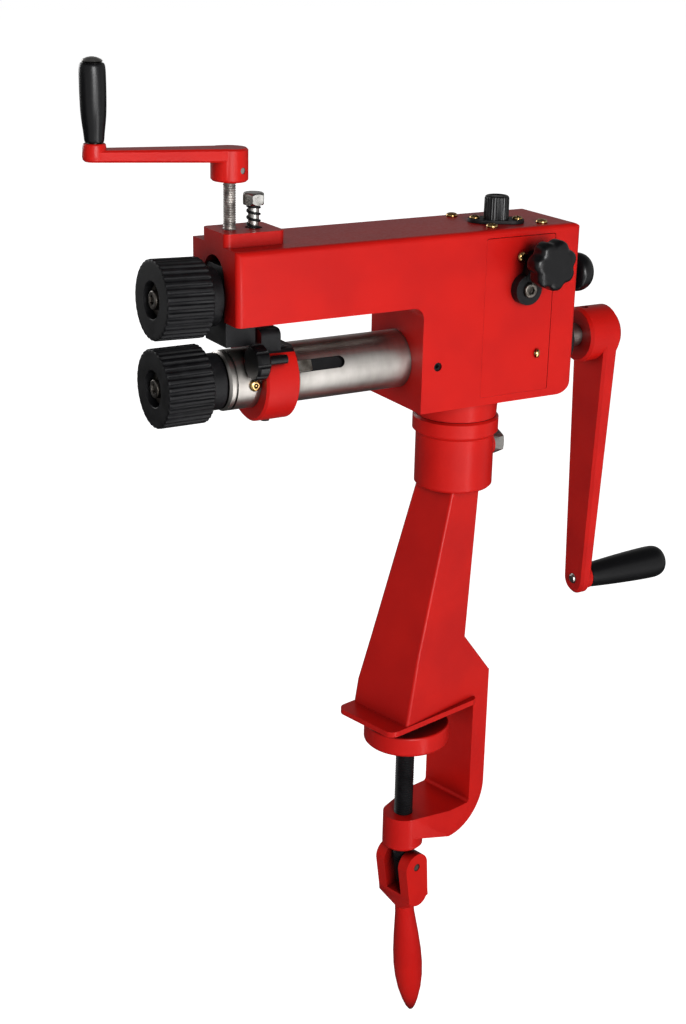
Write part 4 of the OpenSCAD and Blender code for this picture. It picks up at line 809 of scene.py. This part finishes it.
# The collar behind the upper roll, as wide as the lower roll's spacer
COLLAR_R, COLLAR_L = 19 * MM, 9.3 * MM
# Half a groove's width and the part of it that slopes, per flute
GROOVE_HALF, GROOVE_SLOPE = 0.34, 0.24
SIDES_PER_FLUTE = 14


def flute(angle):
    """Depth share of a roll's flutes: broad lands with rounded grooves between."""
    phase = angle / math.tau * sizes().flutes % 1.0
    share = min(1.0, max(0.0, (GROOVE_HALF - abs(phase - 0.5)) / GROOVE_SLOPE))
    return share * share * (3 - 2 * share)


class BEADROLLER_OT_rolls(bpy.types.Operator):
    """Make the two fluted rolls"""
    bl_idname = "beadroller.rolls"
    bl_label = "Fluted rolls"

    def execute(self, context):
        edge, deep = sizes().flute_edge, sizes().flute_depth
        for node, joint in (("lower_roll", "drive_turn"), ("upper_roll", "upper_turn")):
            place, along = axle(joint, RIGHT)
            front, rear, radius = span(node, place, along)
            washer_rear, washer_radius = span(node + "_washer", place, along)[1:]
            recess = washer_radius + RECESS_ROOM
            floor_at = washer_rear + RECESS_BEHIND
            face = radius - deep - 3 * edge
            outline = [(rear, ROLL_BORE), (rear, face)]
            outline += rim(rear, -edge, radius, [
                (0, 2, 0.3), (1, 0.5, 0.4), (2, 0, 0.6), (5, 0, 1)], deep)
            outline += rim(front, edge, radius, [
                (6, 0, 1), (2.5, 0, 0.6), (1, 0.5, 0.3), (0, 2, 0.15)], deep)
            outline += [
                (front, face), (front, recess + edge), (front + edge, recess),
                (floor_at, recess), (floor_at, ROLL_BORE), (rear, ROLL_BORE)]
            roll = turned(node + "_fluted", place, along, outline, ripple=flute,
                          sides=sizes().flutes * SIDES_PER_FLUTE)
            if node == "upper_roll":
                end = rear + COLLAR_L
                collar = turned("collar", place, along, [
                    (rear, ROLL_BORE), (rear, COLLAR_R), (end - edge, COLLAR_R),
                    (end, COLLAR_R - edge), (end, ROLL_BORE), (rear, ROLL_BORE)])
                roll = joined(node + "_fluted", roll, collar)
            keep(roll, node)
        return {"FINISHED"}


# Screws with their threads, and the lift spring

# How near a thread's vertices are to the screw's radius, and a ridge's half width per pitch
CREST, RIDGE_WIDE = 0.6 * MM, 0.48
# A narrowed foot: the share of its width that stays, how it bends, and its rings
FOOT_WIDE, FOOT_BEND, FOOT_CUTS = 0.52, 0.7, (0.3, 0.65, 1.0)
# The wound spring's width as a share of its solid's
SPRING_WIDE = 0.92


def tapered(piece, foot, rise):
    """Narrows the lowest part of an upright piece towards its foot."""
    work = bmesh.new()
    work.from_mesh(piece.data)
    for share in FOOT_CUTS:
        cut(work, foot + Vector((0, 0, rise * share)), UP)
    for vertex in work.verts:
        share = min(1.0, max(0.0, (vertex.co.z - foot.z) / rise))
        wide = FOOT_WIDE + (1 - FOOT_WIDE) * share ** FOOT_BEND
        vertex.co.x = foot.x + (vertex.co.x - foot.x) * wide
        vertex.co.y = foot.y + (vertex.co.y - foot.y) * wide
    work.to_mesh(piece.data)
    work.free()


def threaded(node, joint, pitch, depth, below, above, tongue=0.0):
    """A CAD screw cut down to its core, with a ridge wound round it but for its ends."""
    place = axle(joint)[0]
    low, high, radius = span(node, place, UP)
    core = merged_copy(node, node + "_core")
    for vertex in core.data.vertices:
        arm = vertex.co - place
        arm.z = 0
        if abs(arm.length - radius) < CREST:
            vertex.co -= arm.normalized() * depth
    if tongue:
        tapered(core, place + UP * low, tongue)
    smoothed(core)
    rise = high - low - below - above
    # A four sided section, half of it sunk in the core, stands out as a pointed ridge
    ridge = wound(
        node + "_ridge", node, place + UP * (low + below), Radius=radius - depth,
        Height=rise, Turns=rise / pitch, Deep=depth, Wide=pitch * RIDGE_WIDE,
        Sides=4, Steps=32, Flat=0.0)
    return keep(joined(node + "_threaded", core, ridge), node)


class BEADROLLER_OT_screws(bpy.types.Operator):
    """Cut the threads of the press screw and the clamp screw"""
    bl_idname = "beadroller.screws"
    bl_label = "Screws"

    def execute(self, context):
        threaded("press_screw", "press_turn", sizes().press_pitch, sizes().press_thread,
                 below=14 * MM, above=2 * MM)
        threaded("clamp_screw", "clamp_screw_turn", sizes().clamp_pitch, sizes().clamp_thread,
                 below=18 * MM, above=10 * MM, tongue=17 * MM)
        return {"FINISHED"}


class BEADROLLER_OT_spring(bpy.types.Operator):
    """Wind the lift spring"""
    bl_idname = "beadroller.spring"
    bl_label = "Lift spring"

    def execute(self, context):
        low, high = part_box("lift_spring")
        wire = sizes().spring_wire
        middle = (low + high) / 2
        outer = SPRING_WIDE * (high.x - low.x) / 2
        foot = Vector((middle.x, middle.y, low.z + wire / 2))
        spring = wound(
            "lift_spring_wire", "lift_spring", foot, Radius=outer - wire / 2,
            Height=high.z - low.z - wire, Turns=float(sizes().spring_curls),
            Deep=wire / 2, Wide=wire / 2, Sides=14, Steps=40, Flat=0.15)
        keep(spring, "lift_spring")
        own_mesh(spring)
        return {"FINISHED"}


# Grips and knobs

# A grip's bore, and how far it goes per length
GRIP_BORE, GRIP_BORED = 4.1 * MM, 0.8
# Tables for profile(), along a grip's length or in millimetres from a knob's rear face
DRIVE_GRIP = (
    (0, 0.62), (0.012, 0.7), (0.04, 0.74), (0.3, 0.86), (0.6, 0.96), (0.8, 1), (0.9, 0.985),
    (0.955, 0.88), (0.985, 0.68), (1, 0.4))
PRESS_GRIP = (
    (0, 0.66), (0.02, 0.74), (0.12, 0.8), (0.35, 0.95), (0.6, 1), (0.85, 1), (0.95, 0.97),
    (0.99, 0.9), (1, 0.82))
REAR_KNOB = ((0, 0.55), (0.6, 0.8), (3.4, 1), (8, 1), (12, 0.86), (14.2, 0.62), (15, 0.3))
REAR_THICK, REAR_STEM_R = 15 * MM, 6 * MM
# The star knob's thickness, and how deep its hollows are, by share and bend of the wave
STAR_THICK, STAR_DEEP, LOBE_SHARE, LOBE_BEND, SIDES_PER_LOBE = 13 * MM, 3.6 * MM, 0.6, 1.6, 24
# The oil cap's ribs
CAP_RIBS, CAP_RIB_DEEP, SIDES_PER_RIB = 28, 0.45 * MM, 6


def grip(node, joint, ahead, table):
    """A turned grip whose thick end lies ahead, bored for its spindle."""
    place, along = axle(joint, ahead)
    low, high, radius = span(node, place, along)
    length = high - low
    end = low + length * GRIP_BORED
    outline = [(end, 0.0), (end, GRIP_BORE), (low, GRIP_BORE)]
    outline += eased(profile(low, length, radius, table)) + [(high, 0.0)]
    return keep(turned(node + "_turned", place, along, outline, sides=72), node)


def lobe(angle):
    """Depth share between the star knob's lobes."""
    return LOBE_SHARE * wave(angle, sizes().star_lobes) ** LOBE_BEND


class BEADROLLER_OT_grips(bpy.types.Operator):
    """Turn the grips of the two cranks"""
    bl_idname = "beadroller.grips"
    bl_label = "Grips"

    def execute(self, context):
        grip("drive_grip", "drive_grip_spin", RIGHT, DRIVE_GRIP)
        grip("press_grip", "press_grip_spin", UP, PRESS_GRIP)
        return {"FINISHED"}


class BEADROLLER_OT_knobs(bpy.types.Operator):
    """Make the star knob, the rear knob and the oil cap"""
    bl_idname = "beadroller.knobs"
    bl_label = "Knobs"

    def execute(self, context):
        # Star knob and its hub
        place, along = axle("star_knob_turn", FRONT)
        low, high, radius = span("star_knob", place, along)
        back = high - STAR_THICK
        outline = [(back, 0.0)]
        outline += rim(
            back, MM, radius, [(0, 3, 0.8), (0.5, 1.2, 1), (1.6, 0.2, 1), (3, 0, 1)], STAR_DEEP)
        outline += rim(high, -MM, radius, [
            (4, 0, 1), (2.2, 0.5, 1), (0.9, 1.7, 1), (0.2, 3.6, 0.8), (0, 6, 0.5)], STAR_DEEP)
        outline += [(high - 0.3 * MM, 5 * MM), (high - 0.4 * MM, 0.0)]
        star = turned(
            "star", place, along, outline, sides=sizes().star_lobes * SIDES_PER_LOBE, ripple=lobe)
        hub = turned("star_hub", place, along, [
            (low, 0.0), (low, 5.6 * MM), (back - 1.5 * MM, 5.8 * MM),
            (back + 0.5 * MM, 7.5 * MM), (back + 0.5 * MM, 0.0)], sides=40)
        keep(joined("star_knob_lobed", star, hub), "star_knob")
        # Rear knob
        place, along = axle("rear_knob_turn", RIGHT)
        low, high, radius = span("rear_knob", place, along)
        back = high - REAR_THICK
        outline = [(low, 0.0), (low, REAR_STEM_R), (back, REAR_STEM_R)]
        outline += eased(profile(back, MM, radius, REAR_KNOB)) + [(high, 0.0)]
        keep(turned("rear_knob_turned", place, along, outline, sides=64), "rear_knob")
        # Oil cap
        place, along = axle("oil_cap_turn")
        low, high, radius = span("oil_cap", place, along)
        outline = profile(
            low, MM, radius, [(0, 0), (0, 0.55), (2, 0.9), (2.6, 1, 1)], CAP_RIB_DEEP)
        outline += profile(high, -MM, radius, [
            (1.8, 0.97, 1), (0.7, 0.92, 0.5), (0.1, 0.82), (0, 0.7), (0.6, 0.62), (0.6, 0)],
            CAP_RIB_DEEP)
        keep(turned("oil_cap_ribbed", place, along, outline, sides=CAP_RIBS * SIDES_PER_RIB,
                    ripple=lambda angle: wave(angle, CAP_RIBS)), "oil_cap")
        return {"FINISHED"}


# Oil cups and small screws

CUP_RISE, CUP_BALL_R = 2.4 * MM, 1.2 * MM
COVER_SCREW_R, COVER_SCREW_RISE = 3.5 * MM, 2.6 * MM
# A cross recess: its reach and half width per radius of the head, and its floor per rise
CROSS_REACH, CROSS_HALF, CROSS_FLOOR = 0.62, 0.16, 0.4


def cup():
    """A ball oiler: a low round head with a sprung ball in its mouth."""
    head = turned("cup_head", Vector(), UP, profile(0.0, MM, MM, [
        (-1, 0), (-1, 3.0), (0, 3.0), (0, 3.9), (0.3, 4.0), (1.0, 4.0), (1.7, 3.6), (2.2, 2.9),
        (2.4, 2.2), (2.3, 1.6), (1.5, 1.35), (1.5, 0)]), sides=40)
    angles = [math.radians(degrees) for degrees in (-90, -60, -30, 0, 30, 60)]
    ball = turned("cup_ball", Vector((0, 0, 1.5 * MM)), UP, profile(
        0.0, CUP_BALL_R, CUP_BALL_R,
        [(math.sin(a), max(0.0, math.cos(a))) for a in angles] + [(1, 0)]), sides=24)
    return joined("cup", head, ball)


def cross_screw(radius, rise):
    """A pan head with a cross recess."""
    outline = [(-1 * MM, 0.0), (-1 * MM, radius * 0.5), (0.0, radius * 0.5)]
    outline += profile(0.0, rise, radius, [
        (0, 0.94), (0.15, 1), (0.45, 0.97), (0.75, 0.83), (0.93, 0.6), (1, 0.3), (1, 0)])
    head = turned("pan", Vector(), UP, outline, sides=40)
    reach, half = radius * CROSS_REACH, radius * CROSS_HALF
    corners = [(half, reach), (half, half), (reach, half)]
    for number in range(9):
        x, y = corners[number]
        corners.append((y, -x))
    work = bmesh.new()
    face = work.faces.new([work.verts.new((x, y, rise * CROSS_FLOOR)) for x, y in corners])
    grown = bmesh.ops.extrude_face_region(work, geom=[face])
    for vertex in grown["geom"]:
        if isinstance(vertex, bmesh.types.BMVert):
            vertex.co.z = rise * 1.5
    bmesh.ops.recalc_face_normals(work, faces=work.faces)
    cutter = made("cross", work)
    modified(head, "BOOLEAN", operation="DIFFERENCE", object=cutter, solver="EXACT")
    discard(cutter)
    return head


def islands(node):
    """Boxes of a CAD node's separate solids, as lowest and highest corners."""
    work = bmesh.new()
    work.from_mesh(NODES[node].data)
    bmesh.ops.remove_doubles(work, verts=work.verts, dist=WELD)
    left = set(work.verts)
    boxes = []
    while left:
        group = [left.pop()]
        for vertex in group:
            near = left.intersection(edge.other_vert(vertex) for edge in vertex.link_edges)
            left -= near
            group.extend(near)
        spread = list(zip(*(vertex.co for vertex in group)))
        boxes.append((Vector(map(min, spread)), Vector(map(max, spread))))
    work.free()
    return sorted(boxes, key=lambda box: tuple(box[0]))


def seats(node, rise, turn=0, more=0):
    """Places and turns for heads as high as a rise, on top of or before a node's solids."""
    places = []
    for number, (low, high) in enumerate(islands(node)):
        middle = (low + high) / 2
        spin = turn + more * number
        if high.z > HEAD_TOP:
            places.append(((middle.x, middle.y, high.z - rise), (0, 0, spin)))
        else:
            places.append(((middle.x, low.y + rise, middle.z), (90, 0, spin)))
    return places


class BEADROLLER_OT_fasteners(bpy.types.Operator):
    """Set the oil cups and the small screws of the cover and the flange"""
    bl_idname = "beadroller.fasteners"
    bl_label = "Fasteners"

    def execute(self, context):
        placed("oil_cups_set", "oil_cups", cup(), seats("oil_cups", CUP_RISE))
        placed("cover_screws_set", "cover_screws", cross_screw(COVER_SCREW_R, COVER_SCREW_RISE),
               seats("cover_screws", COVER_SCREW_RISE, 20, 35))
        low, high = islands("flange_screws")[0]
        rise = high.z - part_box("oil_cap_flange")[1].z
        placed("flange_screws_set", "flange_screws", cross_screw((high.x - low.x) / 2, rise),
               seats("flange_screws", rise, 15, 50))
        return {"FINISHED"}


class BEADROLLER_OT_finishes(bpy.types.Operator):
    """Give every CAD node that stays its own finish"""
    bl_idname = "beadroller.finishes"
    bl_label = "Finishes"

    def execute(self, context):
        for node in NODES:
            for slot in NODES[node].material_slots:
                slot.material = material_of(node)
        return {"FINISHED"}


# Stage

CAMERA_AZIMUTH = math.radians(30.64)
CAMERA_PITCH = math.radians(19.81)
CAMERA_ROLL = math.radians(1.26)
CAMERA_PLACE = Vector((-0.6447, -0.9462, 0.5545))
# Focal length over the frame's height, and the optical centre's shift as a share of it
FOCAL_SHARE = 1.6466
SHIFT_SHARES = (-0.0074, -0.0009)
SENSOR = 36.0
# Light that the world adds to every surface
AMBIENT = 0.095
# What mirrors see before and behind the object, with the Y of their rays
MIRRORED_ROOM, MIRRORED_BACKDROP, ROOM_Y, BACKDROP_Y = 0.60, 0.29, -0.45, 0.45
# The share left at the ceiling, and the Z of the rays from wall to ceiling
CEILING, WALL_Z, CEILING_Z = 0.15, 0.38, 0.7
# The floor: half its width, its gap under the object, and its light for the camera
FAR, FLOOR_GAP, FLOOR_GLOW = 12.0, 2 * MM, 0.92
# What mirrors see of the floor in front and behind, with the Y of both
FLOOR_FRONT, FLOOR_BEHIND, FRONT_Y, BEHIND_Y = 0.72, 0.05, -0.7, 0.0
# A bright strip on the floor for mirrors: its light, its slant as X over Y, half its width
# from full light to none, and the Y over which it ends
STRIP, STRIP_SLANT, STRIP_HALF, STRIP_END = 7.0, 0.19, (0.05, 0.15), (-0.35, -0.2)


def camera():
    """The camera at the photograph's viewing angle."""
    aside, front = math.sin(CAMERA_AZIMUTH), math.cos(CAMERA_AZIMUTH)
    level = math.cos(CAMERA_PITCH)
    ahead = Vector((aside * level, front * level, -math.sin(CAMERA_PITCH)))
    right = Vector((front, -aside, 0.0))
    up = right.cross(ahead)
    turn = Matrix.Rotation(CAMERA_ROLL, 3, -ahead)
    right, up = turn @ right, turn @ up
    data = bpy.data.cameras.new("camera")
    data.sensor_width = SENSOR
    data.lens = FOCAL_SHARE * SENSOR
    data.shift_x, data.shift_y = SHIFT_SHARES
    eye = new_piece("camera", data)
    axes = Matrix((right, up, -ahead)).transposed().to_4x4()
    eye.matrix_world = Matrix.Translation(CAMERA_PLACE) @ axes
    bpy.context.scene.camera = eye


def lamp(name, place, aim, size, power):
    """A square soft box, aimed at a point."""
    data = bpy.data.lights.new(name, "AREA")
    data.shape = "SQUARE"
    data.size = size
    data.energy = power * sizes().lamp_strength
    light = new_piece(name, data)
    light.location = place
    light.rotation_euler = (aim - Vector(place)).to_track_quat("-Z", "Y").to_euler()


def seen_share(tree):
    """Shares of 1 or 0: for rays from the camera, and for those from a mirror or glass."""
    path = add(tree, "ShaderNodeLightPath").outputs
    mirrored = calc(tree, "MAXIMUM", path["Is Glossy Ray"], path["Is Transmission Ray"])
    return path["Is Camera Ray"], mirrored


def world():
    """Even light for the surfaces, white for the camera, and a room for mirrors."""
    sky = bpy.data.worlds.new("studio")
    bpy.context.scene.world = sky
    sky.use_nodes = True
    tree = sky.node_tree
    tree.nodes.clear()
    camera_share, mirrored = seen_share(tree)
    way = add(tree, "ShaderNodeTexCoord").outputs["Generated"]
    way = add(tree, "ShaderNodeSeparateXYZ", {0: way}).outputs
    backdrop = ramp(tree, way["Y"], ROOM_Y, BACKDROP_Y, MIRRORED_ROOM, MIRRORED_BACKDROP)
    wall = ramp(tree, way["Z"], WALL_Z, CEILING_Z, 1.0, CEILING)
    backdrop = calc(tree, "MULTIPLY", backdrop, wall)
    strength = calc(tree, "MAXIMUM", AMBIENT, calc(tree, "MULTIPLY", mirrored, backdrop))
    strength = calc(tree, "MAXIMUM", camera_share, strength)
    glow = add(tree, "ShaderNodeBackground", {
        "Color": colours().backdrop, "Strength": strength})
    add(tree, "ShaderNodeOutputWorld", {"Surface": glow})


def floor():
    """A pale floor, white to the camera but for a faint shadow."""
    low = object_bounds()[0]
    mesh = bpy.data.meshes.new("floor")
    corners = [(x, y, low.z - FLOOR_GAP) for x, y in (
        (-FAR, -FAR), (FAR, -FAR), (FAR, FAR), (-FAR, FAR))]
    mesh.from_pydata(corners, [], [(0, 1, 2, 3)])
    ground = new_piece("floor", mesh)
    material, tree, place = new_material("pale_paper_floor")
    colour = mix(tree, noise(tree, place, 40), "#F4F4F4", "#FAFAFA")
    paper = add(tree, "ShaderNodeBsdfDiffuse", {"Color": colour})
    camera_share, mirrored = seen_share(tree)

    def glow(strength):
        return add(tree, "ShaderNodeEmission", {
            "Color": colours().backdrop, "Strength": strength})

    lit = add(tree, "ShaderNodeAddShader", {
        0: paper, 1: glow(calc(tree, "MULTIPLY", camera_share, FLOOR_GLOW))})
    place = add(tree, "ShaderNodeSeparateXYZ", {0: place}).outputs
    aside = calc(tree, "ADD", calc(tree, "DIVIDE", place["X"], place["Y"]), STRIP_SLANT)
    strip = calc(tree, "MULTIPLY", ramp(tree, place["Y"], *STRIP_END, STRIP, 0.0),
                 ramp(tree, calc(tree, "ABSOLUTE", aside), *STRIP_HALF, 1.0, 0.0))
    plain = ramp(tree, place["Y"], FRONT_Y, BEHIND_Y, FLOOR_FRONT, FLOOR_BEHIND)
    surface = add(tree, "ShaderNodeMixShader", {
        0: mirrored, 1: lit, 2: glow(calc(tree, "ADD", strip, plain))})
    add(tree, "ShaderNodeOutputMaterial", {"Surface": surface})
    mesh.materials.append(material)
    ground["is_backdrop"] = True


class BEADROLLER_OT_stage(bpy.types.Operator):
    """Set up the camera, the lamps, the world and the floor"""
    bl_idname = "beadroller.stage"
    bl_label = "Stage"

    def execute(self, context):
        middle = (CAD_BOX[0] + CAD_BOX[1]) / 2
        camera()
        lamp("key", (-0.62, -3.10, 0.75), middle, size=1.3, power=91)
        lamp("back", (-1.2, 4.5, 1.1), middle, size=2.0, power=60)
        world()
        floor()
        context.scene.view_settings.view_transform = "Standard"
        return {"FINISHED"}


class BEADROLLER_PT_panel(bpy.types.Panel):
    """Lists the pieces and the stage"""
    bl_idname = "BEADROLLER_PT_panel"
    bl_label = "Bead Roller"
    bl_space_type = "VIEW_3D"
    bl_region_type = "UI"
    bl_category = "Bead Roller"

    def draw(self, context):
        for operator in OPERATORS:
            self.layout.operator(operator.bl_idname)
        for group in (colours(), sizes()):
            for name in group.__annotations__:
                self.layout.prop(group, name)


OPERATORS = (
    BEADROLLER_OT_stage, BEADROLLER_OT_castings, BEADROLLER_OT_steelwork,
    BEADROLLER_OT_rolls, BEADROLLER_OT_screws, BEADROLLER_OT_spring,
    BEADROLLER_OT_grips, BEADROLLER_OT_knobs, BEADROLLER_OT_fasteners, BEADROLLER_OT_finishes)
CLASSES = (BEADROLLER_PG_colours, BEADROLLER_PG_sizes, *OPERATORS, BEADROLLER_PT_panel)


def register():
    for each in CLASSES:
        bpy.utils.register_class(each)
    bpy.types.Scene.beadroller_colours = PointerProperty(type=BEADROLLER_PG_colours)
    bpy.types.Scene.beadroller_sizes = PointerProperty(type=BEADROLLER_PG_sizes)


def unregister():
    del bpy.types.Scene.beadroller_sizes
    del bpy.types.Scene.beadroller_colours
    for each in reversed(CLASSES):
        bpy.utils.unregister_class(each)


def main():
    """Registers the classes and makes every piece."""
    register()
    for operator in OPERATORS:
        group, name = operator.bl_idname.split(".")
        getattr(getattr(bpy.ops, group), name)()


if __name__ == "__main__":
    main()
